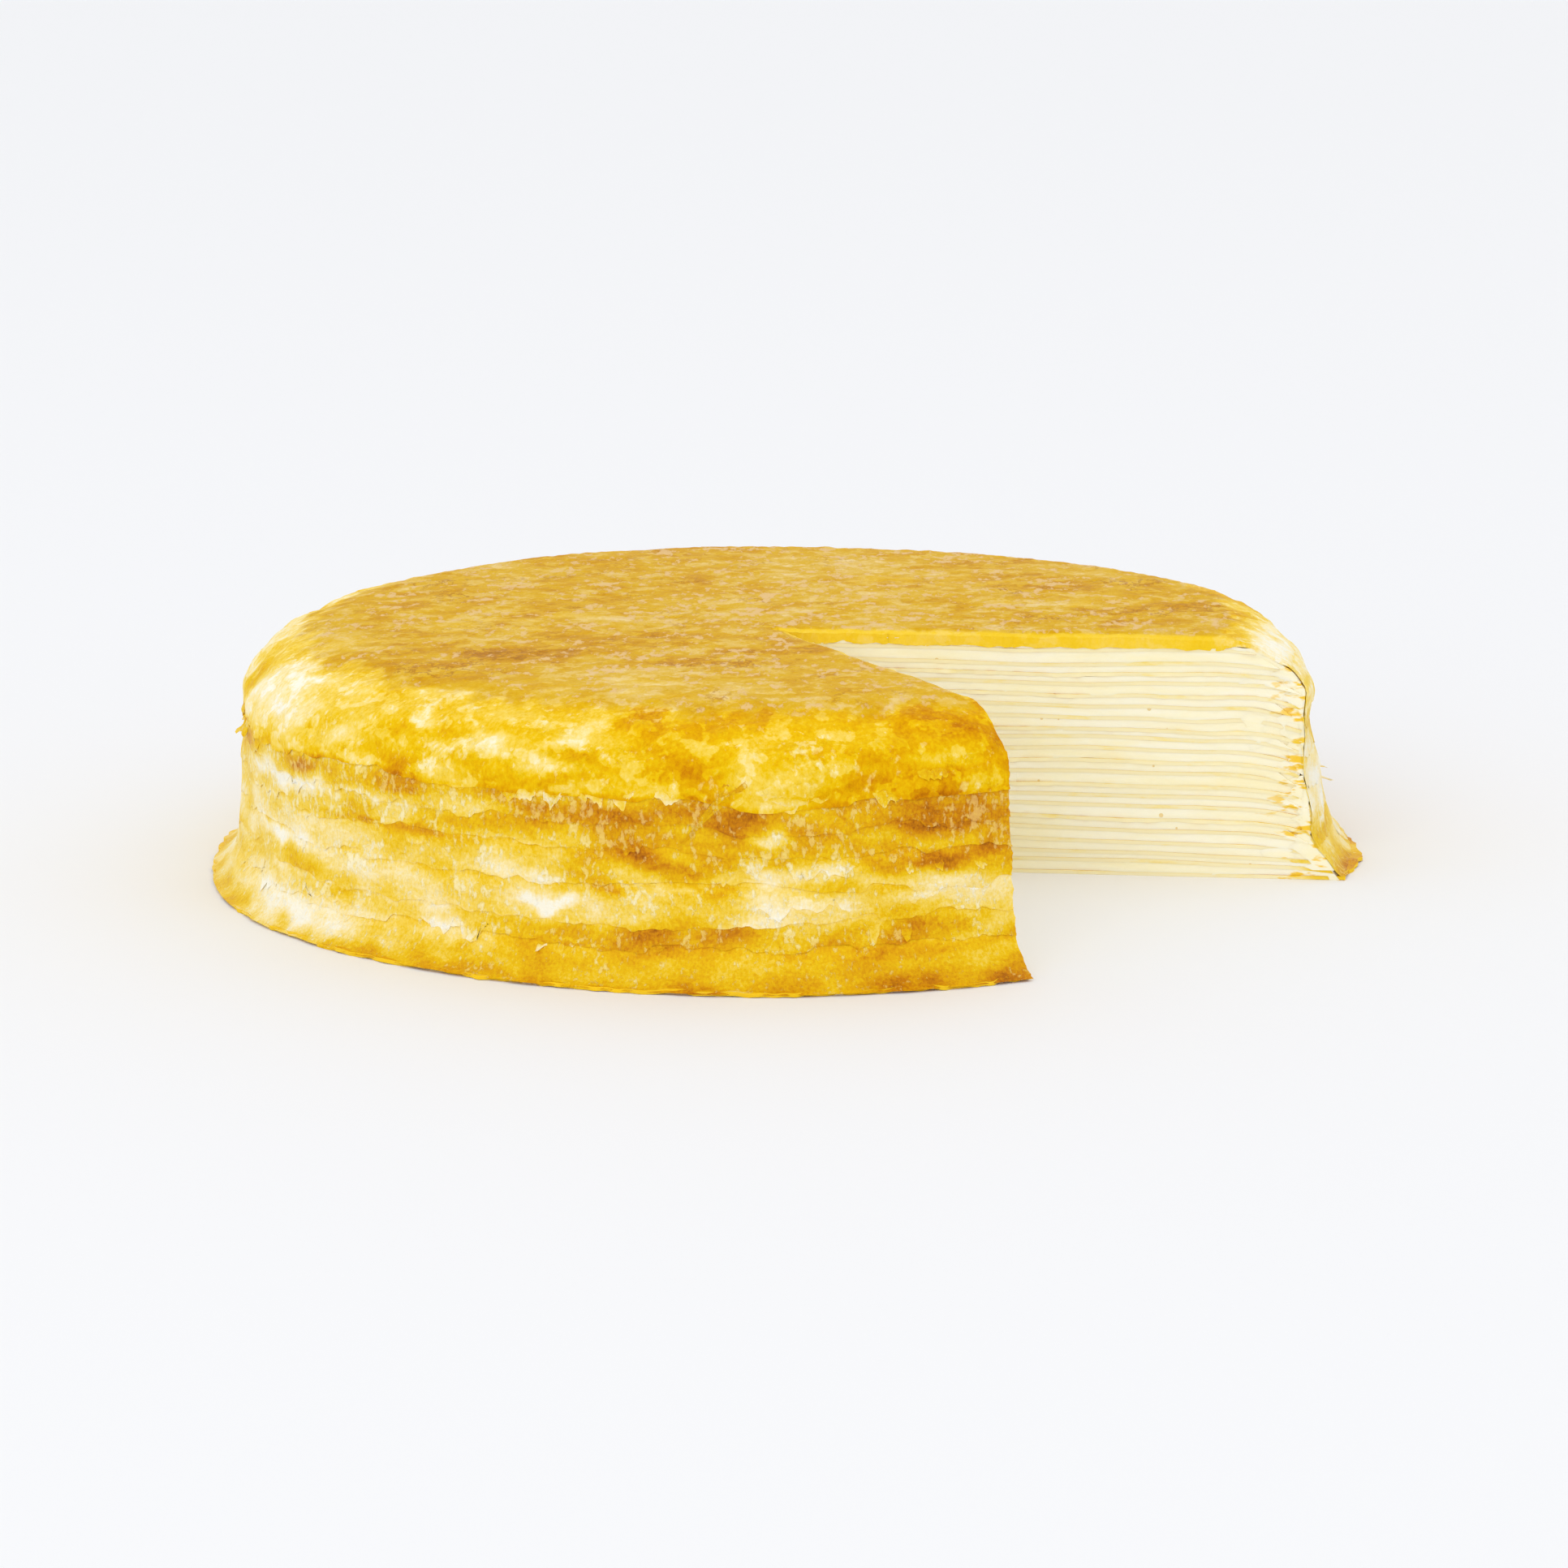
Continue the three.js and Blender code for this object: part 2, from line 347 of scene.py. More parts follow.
def take_slice_out(piece, recess=0.0, edge_rows=()):
    """Cuts the slice out of a sheet. Edge rows are extra edges beside each cut, to bend."""
    for cut in CUTS:
        for offset in (*(-row for row in edge_rows), -recess):
            bisect_near(piece, cut, offset)
    centres = face_centres(piece)
    inside = np.ones(len(centres), bool)
    for cut in CUTS:
        inside &= past_cut(centres, cut) > -recess
    edit_faces(piece, inside)
    bpy.ops.mesh.delete(type="FACE")
    bpy.ops.object.mode_set(mode="OBJECT")


# %% [markdown]
# ## Giving a sheet its wall
#
# The Solidify modifier copies the sheet along its normals and closes the rim, which also closes
# the cuts. A vertex group makes the wall thinner towards a hem. The rim gets its own material,
# because a cut crepe is pale inside and browned only on its face. Numbers painted on the points,
# such as "face", which tells the outer face from the inner one, are read by the materials.

# %% The wall
WALL_STEPS = 50


def paint(piece, name, values):
    """Stores one number for each point, which a material reads by its name."""
    attribute = piece.data.attributes.new(name, "FLOAT", "POINT")
    attribute.data.foreach_set("value", values.astype(np.float32))


def painted_on(piece, name):
    """Reads back what was painted on a sheet."""
    values = np.empty(len(piece.data.vertices))
    piece.data.attributes[name].data.foreach_get("value", values)
    return values


def dress(piece, *materials):
    for material in materials:
        piece.data.materials.append(material)


def add_wall(piece, thickness, shares=None):
    """Solidifies a sheet inwards. Shares make the wall thinner, point by point."""
    select_only(piece)
    bpy.ops.object.modifier_add(type="SOLIDIFY")
    wall = piece.modifiers[-1]
    wall.thickness = thickness * MM
    wall.offset = -1.0
    if shares is not None:
        group = piece.vertex_groups.new(name="wall")
        steps = np.round(np.clip(shares, 0, 1) * WALL_STEPS).astype(int)
        for step in np.unique(steps):
            group.add(np.flatnonzero(steps == step).tolist(), step / WALL_STEPS, "REPLACE")
        wall.vertex_group = group.name
    if len(piece.data.materials) > 1:
        wall.material_offset_rim = 1
    outer_points = len(piece.data.vertices)
    bpy.ops.object.modifier_apply(modifier=wall.name)
    piece.vertex_groups.clear()
    face = np.zeros(len(piece.data.vertices))
    face[outer_points:] = 1.0
    paint(piece, "face", face)


# %% [markdown]
# ## What the knife leaves
#
# A knife goes through soft layers with a slight wave, and drags each one a little differently. So
# the points on the cuts are moved in and out by a long wave that all layers share and a short one
# of their own. Only a cut shows the pale inside of a crepe: its hem is skin like the rest.

# %% The cut faces
KNIFE_WAVES = 0.12
KNIFE_WAVE_SIZE = 15
CUT_BAND = 0.12
CUT_FACE_REACH = 0.5
SAME_PLANE = 0.02


def skin_on_hem(piece):
    """Only the cuts keep the rim's own material."""
    centres = face_centres(piece)
    on_cut = np.zeros(len(centres), bool)
    for cut in CUTS:
        on_cut |= (np.abs(past_cut(centres, cut)) < CUT_FACE_REACH) & (along_cut(centres, cut) > 0)
    numbers = np.empty(len(centres), np.int32)
    piece.data.polygons.foreach_get("material_index", numbers)
    piece.data.polygons.foreach_set("material_index", np.where(on_cut, numbers, 0).astype(np.int32))


def square_cuts(piece):
    """Moves the inner edge of a cut wall straight under its outer edge."""
    points = points_of(piece)
    half = len(points) // 2
    outer, inner = points[:half], points[half:]
    for cut in CUTS:
        on_cut = (np.abs(past_cut(outer, cut)) < SAME_PLANE) & (along_cut(outer, cut) > 0.5)
        lean = past_cut(inner[on_cut], cut) - past_cut(outer[on_cut], cut)
        inner[on_cut, :2] -= np.outer(lean, cut["into"])
    move_points(piece, points)


def wobble_cuts(piece, strength=0.0, size=9, seed=0):
    """Moves the points on the cuts in and out. The strength is that of the layer's own wave."""
    points = points_of(piece)
    for number, cut in enumerate(CUTS):
        away = past_cut(points, cut)
        on_cut = (np.abs(away) < CUT_BAND) & (along_cut(points, cut) > 1)
        chosen = points[on_cut]
        push = KNIFE_WAVES * lumps(chosen, KNIFE_WAVE_SIZE, 50 + number, (1, 1, 0.35))
        push = push + strength * np.abs(lumps(chosen, size, seed + number, (1, 1, 0.25)))
        points[on_cut, :2] += np.outer(push, cut["into"])
    move_points(piece, points)


# %% [markdown]
# ## Finishing a piece
#
# Every piece ends alike: no point may lie under the plate or above the cake, gentle edges are
# shaded smooth while the cuts stay sharp, and the piece is attached to the cake's root body, while
# the plain solid that it stands for is hidden.

# %% Finishing
SMOOTH_ANGLE = math.radians(38)


def finish_piece(piece, node):
    points = points_of(piece)
    points[:, 2] = np.clip(points[:, 2], 0, CAKE_HEIGHT)
    move_points(piece, points)
    select_only(piece)
    bpy.ops.object.shade_smooth_by_angle(angle=SMOOTH_ANGLE)
    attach(piece, "root")
    if node:
        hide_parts(node)


# %% [markdown]
# ## Working with nodes
#
# A material is a tree of nodes, and most of its steps are small sums on a number. These helpers
# make such a step in one line, and link a socket or set it, whichever it is given.

# %% Node helpers
def linear(channel):
    share = channel / 255
    return share / 12.92 if share <= 0.04045 else ((share + 0.055) / 1.055) ** 2.4


def colour(red, green, blue):
    """A colour as seen on a screen, from 0 to 255, as Blender's own linear colour."""
    return (linear(red), linear(green), linear(blue), 1.0)


def feed(tree, value, socket):
    """Links a socket to another one, or sets it to a fixed value."""
    if isinstance(value, bpy.types.NodeSocket):
        tree.links.new(value, socket)
    else:
        socket.default_value = value


def add_node(tree, kind, settings=None, **sockets):
    """A node with its settings. Its sockets are called by name, or by number as _0 and _1."""
    node = tree.nodes.new(kind)
    for key, value in (settings or {}).items():
        setattr(node, key, value)
    for key, value in sockets.items():
        feed(tree, value, node.inputs[int(key[1:]) if key[0] == "_" else key.replace("_", " ")])
    return node


def calculate(tree, operation, first, second=0.0, clamp=False):
    """One step of arithmetic in a node tree."""
    settings = {"operation": operation, "use_clamp": clamp}
    return add_node(tree, "ShaderNodeMath", settings, _0=first, _1=second).outputs[0]


def times(tree, first, second):
    return calculate(tree, "MULTIPLY", first, second)


def minus(tree, first, second):
    return calculate(tree, "SUBTRACT", first, second)


def plus(tree, total, *others):
    for other in others:
        total = calculate(tree, "ADD", total, other)
    return total


def ranged(tree, value, low, high, smooth=False, **ends):
    """A value stretched from its own range to 0 and 1, or to other ends."""
    settings = {"interpolation_type": "SMOOTHSTEP" if smooth else "LINEAR"}
    return add_node(
        tree, "ShaderNodeMapRange", settings, Value=value, From_Min=low, From_Max=high, **ends
    ).outputs[0]


def object_place(tree):
    return tree.nodes.new("ShaderNodeTexCoord").outputs["Object"]


def from_axis(tree):
    """How far a place lies from the cake's upright axis, in metres."""
    split = add_node(tree, "ShaderNodeSeparateXYZ", Vector=object_place(tree))
    flat = add_node(tree, "ShaderNodeCombineXYZ", X=split.outputs["X"], Y=split.outputs["Y"])
    length = add_node(tree, "ShaderNodeVectorMath", {"operation": "LENGTH"}, _0=flat.outputs[0])
    return length.outputs["Value"]


def noise_in(tree, stretch, scale, detail, roughness):
    """Noise in the cake's own coordinates, stretched along its axes."""
    settings = {"operation": "MULTIPLY"}
    spread = add_node(tree, "ShaderNodeVectorMath", settings, _0=object_place(tree), _1=stretch)
    sizes = {"Scale": scale, "Detail": detail, "Roughness": roughness}
    return add_node(tree, "ShaderNodeTexNoise", Vector=spread.outputs[0], **sizes).outputs[0]


def new_group(name, inputs, outputs):
    """An empty shader group with number inputs and outputs."""
    group = bpy.data.node_groups.new(name, "ShaderNodeTree")
    for label, value in inputs.items():
        kind = "NodeSocketVector" if isinstance(value, tuple) else "NodeSocketFloat"
        group.interface.new_socket(label, in_out="INPUT", socket_type=kind).default_value = value
    for label in outputs:
        group.interface.new_socket(label, in_out="OUTPUT", socket_type="NodeSocketFloat")
    return group, group.nodes.new("NodeGroupInput").outputs, group.nodes.new("NodeGroupOutput").inputs


# %% [markdown]
# ## Shared patterns for the materials
#
# Cooked batter is never one colour. Heat browns it in soft clouds, the batter's bubbles leave a
# fine grain, and small pale flecks lie on it, partly dry batter and partly painted highlights that
# stand for glints on moist specks. One node group makes these three from noise in Object
# coordinates, and every material of cooked batter uses it with its own sizes.

# %% The browning pattern
EVEN = (1.0, 1.0, 1.0)
GRAIN_FINER = 2.1
GRAIN_STRENGTH = 0.45
BLOB_EDGE = (0.53, 0.58)
FLECK_LEVEL = 0.69
FLECK_LEVEL_FALL = 0.19
FLECK_SOFTNESS = 0.07
RELIEF_SHARES = {"blobs": 1.2, "flecks": 0.2, "grain": 0.4}

browning_pattern, given, result = new_group(
    "browning_pattern",
    {
        "Browning": 0.5,
        "Lace": 0.5,
        "Cloud Stretch": EVEN,
        "Cloud Scale": 60.0,
        "Cloud Strength": 1.0,
        "Blob Scale": 200.0,
        "Blob Strength": 0.15,
        "Fleck Stretch": EVEN,
        "Fleck Scale": 600.0,
    },
    ("Shade", "Flecks", "Relief"),
)
tree = browning_pattern
clouds = noise_in(tree, given["Cloud Stretch"], given["Cloud Scale"], 5.0, 0.65)
blob_noise = noise_in(tree, given["Cloud Stretch"], given["Blob Scale"], 3.0, 0.55)
grain = noise_in(tree, given["Fleck Stretch"], times(tree, given["Fleck Scale"], GRAIN_FINER), 3.0, 0.65)
fleck_noise = noise_in(tree, given["Fleck Stretch"], given["Fleck Scale"], 4.0, 0.6)
cloud_part = times(tree, minus(tree, clouds, 0.5), given["Cloud Strength"])
blob_part = times(tree, ranged(tree, blob_noise, *BLOB_EDGE), given["Blob Strength"])
grain_part = times(tree, minus(tree, grain, 0.5), GRAIN_STRENGTH)
shade = minus(tree, plus(tree, given["Browning"], cloud_part), blob_part)
shade = calculate(tree, "ADD", shade, grain_part, True)
fleck_edge = minus(tree, FLECK_LEVEL, times(tree, given["Lace"], FLECK_LEVEL_FALL))
flecks = ranged(tree, fleck_noise, fleck_edge, plus(tree, fleck_edge, FLECK_SOFTNESS))
relief = plus(
    tree,
    times(tree, blob_noise, RELIEF_SHARES["blobs"]),
    times(tree, flecks, RELIEF_SHARES["flecks"]),
    times(tree, grain, RELIEF_SHARES["grain"]),
)
feed(tree, shade, result["Shade"])
feed(tree, flecks, result["Flecks"])
feed(tree, relief, result["Relief"])
print("group browning_pattern has", len(tree.nodes), "nodes")

# %% [markdown]
# ## The colours of cooked batter
#
# A crepe goes from cream-white through butter yellow and gold to amber and brown as it cooks. A
# colour ramp holds that order. The pale flecks, partly dry batter and partly painted highlights for
# glints on moist specks, are always paler than the batter they sit on, so they have a ramp of their
# own. The browned top has a ramp of tans.

# %% Batter colours
CREAM_WHITE = colour(254, 248, 226)
STRAW = colour(254, 232, 164)
BUTTER = colour(248, 212, 84)
YELLOW = colour(240, 194, 8)
GOLD = colour(228, 168, 0)
AMBER = colour(204, 128, 2)
BROWN = colour(150, 80, 4)
BATTER_RAMP = (
    (0.0, CREAM_WHITE),
    (0.2, STRAW),
    (0.38, BUTTER),
    (0.52, YELLOW),
    (0.66, GOLD),
    (0.83, AMBER),
    (1.0, BROWN),
)
# Pale fleck colours: partly dry batter, partly painted highlights that stand for glints on moist specks.
FLECK_AND_GLINT_RAMP = (
    (0.1, colour(255, 250, 232)),
    (0.38, colour(253, 238, 182)),
    (0.55, colour(248, 220, 124)),
    (0.7, colour(242, 203, 104)),
    (0.86, colour(234, 184, 100)),
    (1.0, colour(216, 160, 80)),
)
TAN_RAMP = (
    (0.0, colour(240, 212, 150)),
    (0.24, colour(231, 192, 92)),
    (0.44, colour(224, 177, 24)),
    (0.6, colour(217, 162, 0)),
    (0.78, colour(204, 142, 0)),
    (1.0, colour(158, 96, 0)),
)
TAN_FLECK = colour(232, 193, 132)
SCORCHED = colour(180, 112, 14)
LIP_COLOUR = colour(246, 206, 40)


def colour_ramp(tree, shade, stops):
    ramp = add_node(tree, "ShaderNodeValToRGB", Fac=shade)
    elements = ramp.color_ramp.elements
    while len(elements) < len(stops):
        elements.new(0.5)
    for element, (place, shown) in zip(elements, stops):
        element.position = place
        element.color = shown
    return ramp.outputs["Color"]


def mixed(tree, share, first, second):
    """Two colours mixed. The Mix node's inputs 0, 6 and 7 are its factor and its two colours."""
    mix = add_node(tree, "ShaderNodeMix", {"data_type": "RGBA"}, _0=share, _6=first, _7=second)
    return mix.outputs[2]


# %% [markdown]
# ## The skin of the side
#
# Where on the cake a crepe is pale or brown is painted on its points as the attribute "browning",
# and how densely flecks cover it as "lace". The pattern breaks both up at a fine scale. The batter
# is moist and a little translucent, so it gets a soft sheen and some light passes into it.

# %% The side's material
SPECULAR_LEVEL = 0.1
BATTER_BUMP = 0.6
BATTER_BUMP_STRENGTH = 0.7
ROUGHEST = 0.62
SMOOTHEST = 0.38
HIGHEST_RELIEF = 1.6


def painted(tree, name):
    return add_node(tree, "ShaderNodeAttribute", {"attribute_name": name}).outputs["Fac"]


def use_group(tree, group, **sockets):
    return add_node(tree, "ShaderNodeGroup", {"node_tree": group}, **sockets).outputs


def new_material(name):
    material = bpy.data.materials.new(name)
    material.use_nodes = True
    return material, material.node_tree, material.node_tree.nodes["Principled BSDF"]


def add_bump(tree, shader, height, distance, strength):
    bump = add_node(tree, "ShaderNodeBump", Strength=strength, Distance=distance * MM, Height=height)
    feed(tree, bump.outputs["Normal"], shader.inputs["Normal"])


def soften(shader, depth, share):
    """Light goes a little way into batter and cream."""
    shader.inputs["Subsurface Weight"].default_value = share
    shader.inputs["Subsurface Radius"].default_value = (1.0, 0.9, 0.7)
    shader.inputs["Subsurface Scale"].default_value = depth * MM


def flecked(tree, look, cooked, fleck, cover):
    """A look's cooked colours, with paler flecks over them."""
    return mixed(tree, times(tree, look["Flecks"], cover), colour_ramp(tree, look["Shade"], cooked), fleck)


def moist_batter(tree, shader, shown, relief, shine):
    """Shows a colour, with roughness and bump from the relief."""
    rough = ranged(tree, relief, 0.0, HIGHEST_RELIEF, To_Min=ROUGHEST, To_Max=SMOOTHEST)
    feed(tree, shown, shader.inputs["Base Color"])
    feed(tree, rough, shader.inputs["Roughness"])
    shader.inputs["Specular IOR Level"].default_value = shine
    soften(shader, 0.7, 0.12)
    add_bump(tree, shader, relief, BATTER_BUMP, BATTER_BUMP_STRENGTH)


side_skin, tree, shader = new_material("side_skin")
side = use_group(
    tree, browning_pattern, Browning=painted(tree, "browning"), Lace=painted(tree, "lace"),
    Cloud_Stretch=(1.0, 1.0, 1.7), Cloud_Scale=75.0, Cloud_Strength=0.7,
    Blob_Scale=300.0, Blob_Strength=0.09, Fleck_Stretch=(1.0, 1.0, 0.6), Fleck_Scale=820.0,
)
# The side's flecks are partly painted highlights that stand for glints on the moist batter.
side_colour = flecked(tree, side, BATTER_RAMP, colour_ramp(tree, side["Shade"], FLECK_AND_GLINT_RAMP), 0.75)
moist_batter(tree, shader, side_colour, side["Relief"], SPECULAR_LEVEL)
print("material side_skin made")

# %% [markdown]
# ## The skin of the top
#
# The top crepe lay longest on the hot pan. Its flat part is tan and its drape is as yellow as the
# side, so the material makes both looks, and the attribute "tan" says where one changes into the
# other. Thin brown wrinkles lie where a noise passes through its middle value, and the attributes
# "scorch" and "lip" give the darkest spots and the golden edge beside the cuts.

# %% The browned top's material
WRINKLE_WIDTHS = (0.01, 0.045)
WRINKLE_PLACES = (0.56, 0.7)
WRINKLE_STRENGTH = 0.7
SCORCH_WRINKLES = 0.28
TOP_SHINE = 0.03

top_skin, tree, shader = new_material("top_skin")
painted_looks = {"Browning": painted(tree, "browning"), "Lace": painted(tree, "lace")}
drape = use_group(
    tree, browning_pattern, **painted_looks, Cloud_Stretch=(1.0, 1.0, 1.2), Cloud_Scale=60.0,
    Cloud_Strength=0.34, Blob_Scale=230.0, Blob_Strength=0.14,
    Fleck_Stretch=(1.0, 1.0, 0.7), Fleck_Scale=520.0,
)
# The baked look's flecks are stretched along y and its blobs are strong: its colour contrast is partly the
# tan's own mottling and partly painted shade standing for the top's small relief.
baked_and_relief_shade = use_group(
    tree, browning_pattern, **painted_looks, Cloud_Stretch=EVEN, Cloud_Scale=110.0,
    Cloud_Strength=0.9, Blob_Scale=240.0, Blob_Strength=0.2,
    Fleck_Stretch=(1.0, 0.5, 1.0), Fleck_Scale=520.0,
)
# The drape's flecks are partly painted highlights too, standing for glints on moist specks.
drape_colour = flecked(tree, drape, BATTER_RAMP, colour_ramp(tree, drape["Shade"], FLECK_AND_GLINT_RAMP), 0.7)
top_colour = flecked(tree, baked_and_relief_shade, TAN_RAMP, TAN_FLECK, 0.85)

wrinkles = noise_in(tree, (1.0, 0.6, 1.0), 230.0, 4.0, 0.65)
line_distance = calculate(tree, "ABSOLUTE", minus(tree, wrinkles, 0.5))
lines = ranged(tree, line_distance, *WRINKLE_WIDTHS, To_Min=1.0, To_Max=0.0)
line_places = noise_in(tree, EVEN, 70.0, 3.0, 0.6)
line_cover = plus(tree, line_places, times(tree, painted(tree, "scorch"), SCORCH_WRINKLES))
line_mask = times(tree, ranged(tree, line_cover, *WRINKLE_PLACES), WRINKLE_STRENGTH)
top_colour = mixed(tree, times(tree, lines, line_mask), top_colour, SCORCHED)
shown = mixed(tree, painted(tree, "tan"), drape_colour, top_colour)
shown = mixed(tree, painted(tree, "lip"), shown, LIP_COLOUR)
moist_batter(tree, shader, shown, baked_and_relief_shade["Relief"], TOP_SHINE)
print("material top_skin made")

# %% [markdown]
# ## Patterns of the cut
#
# Two more shared effects belong to the cut. Towards the side the layers are crisper, and short
# leaning strokes of gold show where the knife has torn them. Cream has tiny air holes, painted
# darker as the shade inside them, and faint smears of crumb, which run level with the layers.

# %% Crisp ends and cream speckle
STROKE_LEAN = math.radians(38)
CRISP_REACH = (0.1, 0.113)
STROKE_LEVEL = 0.72
STROKE_LEVEL_FALL = 0.2
STROKE_SOFTNESS = 0.06
PORE_REACH = 0.15
PORE_DEPTH = 0.8

crisp_ends, given, result = new_group("crisp_ends", {"Strength": 1.0}, ("Crisp",))
tree = crisp_ends
lean = {"Rotation": (0.0, STROKE_LEAN, 0.0), "Scale": (0.3, 0.3, 1.0)}
leaning = add_node(tree, "ShaderNodeMapping", Vector=object_place(tree), **lean).outputs[0]
sizes = {"Scale": 480.0, "Detail": 3.0, "Roughness": 0.6}
strokes = add_node(tree, "ShaderNodeTexNoise", Vector=leaning, **sizes).outputs[0]
outer = ranged(tree, from_axis(tree), *CRISP_REACH, smooth=True)
stroke_edge = minus(tree, STROKE_LEVEL, times(tree, outer, STROKE_LEVEL_FALL))
crisp_share = ranged(tree, strokes, stroke_edge, plus(tree, stroke_edge, STROKE_SOFTNESS))
feed(tree, times(tree, times(tree, crisp_share, outer), given["Strength"]), result["Crisp"])

cream_speckle, given, result = new_group(
    "cream_speckle", {"Pore Scale": 300.0, "Smear Scale": 34.0}, ("Pores", "Smears", "Relief")
)
tree = cream_speckle
cells = add_node(tree, "ShaderNodeTexVoronoi", Vector=object_place(tree), Scale=given["Pore Scale"])
pore_size = times(tree, ranged(tree, cells.outputs["Color"], 0.6, 0.9), PORE_REACH)
pores = calculate(tree, "LESS_THAN", cells.outputs["Distance"], pore_size)
fine = noise_in(tree, (1.0, 1.0, 1.6), 520.0, 3.0, 0.6)
feed(tree, pores, result["Pores"])
feed(tree, noise_in(tree, (1.0, 1.0, 5.0), given["Smear Scale"], 5.0, 0.65), result["Smears"])
feed(tree, minus(tree, fine, times(tree, pores, PORE_DEPTH)), result["Relief"])
print("groups crisp_ends and cream_speckle made")

# %% [markdown]
# ## The cut edge and the cream
#
# Where the knife went, a crepe is as pale as the cream, with a fine yellow line along its browned
# face. Near the outside it was crisp, and the line widens and turns orange. The attribute "face" is
# nothing on a crepe's outer face and one on its inner face, so between them it tells the depth. The
# cream is almost white and a little yellow.

# %% Cut edge and cream materials
CRISP_COLOUR = colour(250, 202, 30)
CREAM_COLOUR = colour(254, 247, 222)
CREAM_SMEAR = colour(253, 240, 194)
# Painted shade for the inside of the cream's air holes.
PORE_SHADE_COLOUR = colour(232, 198, 116)
CRISP_STRENGTH = 0.95
PALE_EDGE = 0.12
EDGE_LINE = 0.06
EDGE_CRISP = 0.33
EDGE_SMUDGE = 0.2

cut_edge, tree, shader = new_material("cut_edge")
ragged = noise_in(tree, (1.0, 1.0, 1.5), 160.0, 3.0, 0.6)
outwards = plus(tree, from_axis(tree), times(tree, ragged, 0.02))
crisp = ranged(tree, outwards, 0.119, 0.131, smooth=True)
smudged = ranged(tree, noise_in(tree, (1.0, 1.0, 5.0), 60.0, 5.0, 0.7), 0.56, 0.74)
depth = plus(tree, painted(tree, "face"), times(tree, ragged, 0.3))
line = ranged(tree, minus(tree, plus(tree, 0.4, crisp), depth), -0.15, 0.3)
faded = ranged(tree, noise_in(tree, (1.0, 1.0, 3.0), 110.0, 4.0, 0.65), 0.3, 0.62, To_Min=0.35)
line = times(tree, times(tree, line, faded), EDGE_LINE)
browning = plus(tree, line, PALE_EDGE, times(tree, crisp, EDGE_CRISP), times(tree, smudged, EDGE_SMUDGE))
ends = use_group(tree, crisp_ends, Strength=CRISP_STRENGTH)["Crisp"]
edge_colour = mixed(tree, ends, colour_ramp(tree, browning, BATTER_RAMP), CRISP_COLOUR)
feed(tree, edge_colour, shader.inputs["Base Color"])
shader.inputs["Roughness"].default_value = 0.6
shader.inputs["Specular IOR Level"].default_value = SPECULAR_LEVEL
soften(shader, 1.0, 0.3)
add_bump(tree, shader, ragged, 0.3, 0.4)

pastry_cream, tree, shader = new_material("pastry_cream")
speckle = use_group(tree, cream_speckle)
smear = ranged(tree, speckle["Smears"], 0.4, 0.72)
cream_colour = mixed(tree, smear, CREAM_COLOUR, CREAM_SMEAR)
# Painted shade: the air holes are darkened, as the shade inside them.
cream_colour = mixed(tree, times(tree, speckle["Pores"], 0.7), cream_colour, PORE_SHADE_COLOUR)
ends = use_group(tree, crisp_ends, Strength=CRISP_STRENGTH)["Crisp"]
feed(tree, mixed(tree, ends, cream_colour, CRISP_COLOUR), shader.inputs["Base Color"])
shader.inputs["Roughness"].default_value = 0.5
shader.inputs["Specular IOR Level"].default_value = SPECULAR_LEVEL
soften(shader, 1.0, 0.25)
add_bump(tree, shader, speckle["Relief"], 0.25, 0.5)
print("materials cut_edge and pastry_cream made")

# %% [markdown]
# ## Where the cake is pale and where it is brown
#
# Some patches of the side have a place and a size of their own: spots of cream that show
# through, darker bands, and the pale side beside the far cut. Each fades out at its edge, and the
# places are warped by lumps later, so that none looks drawn.

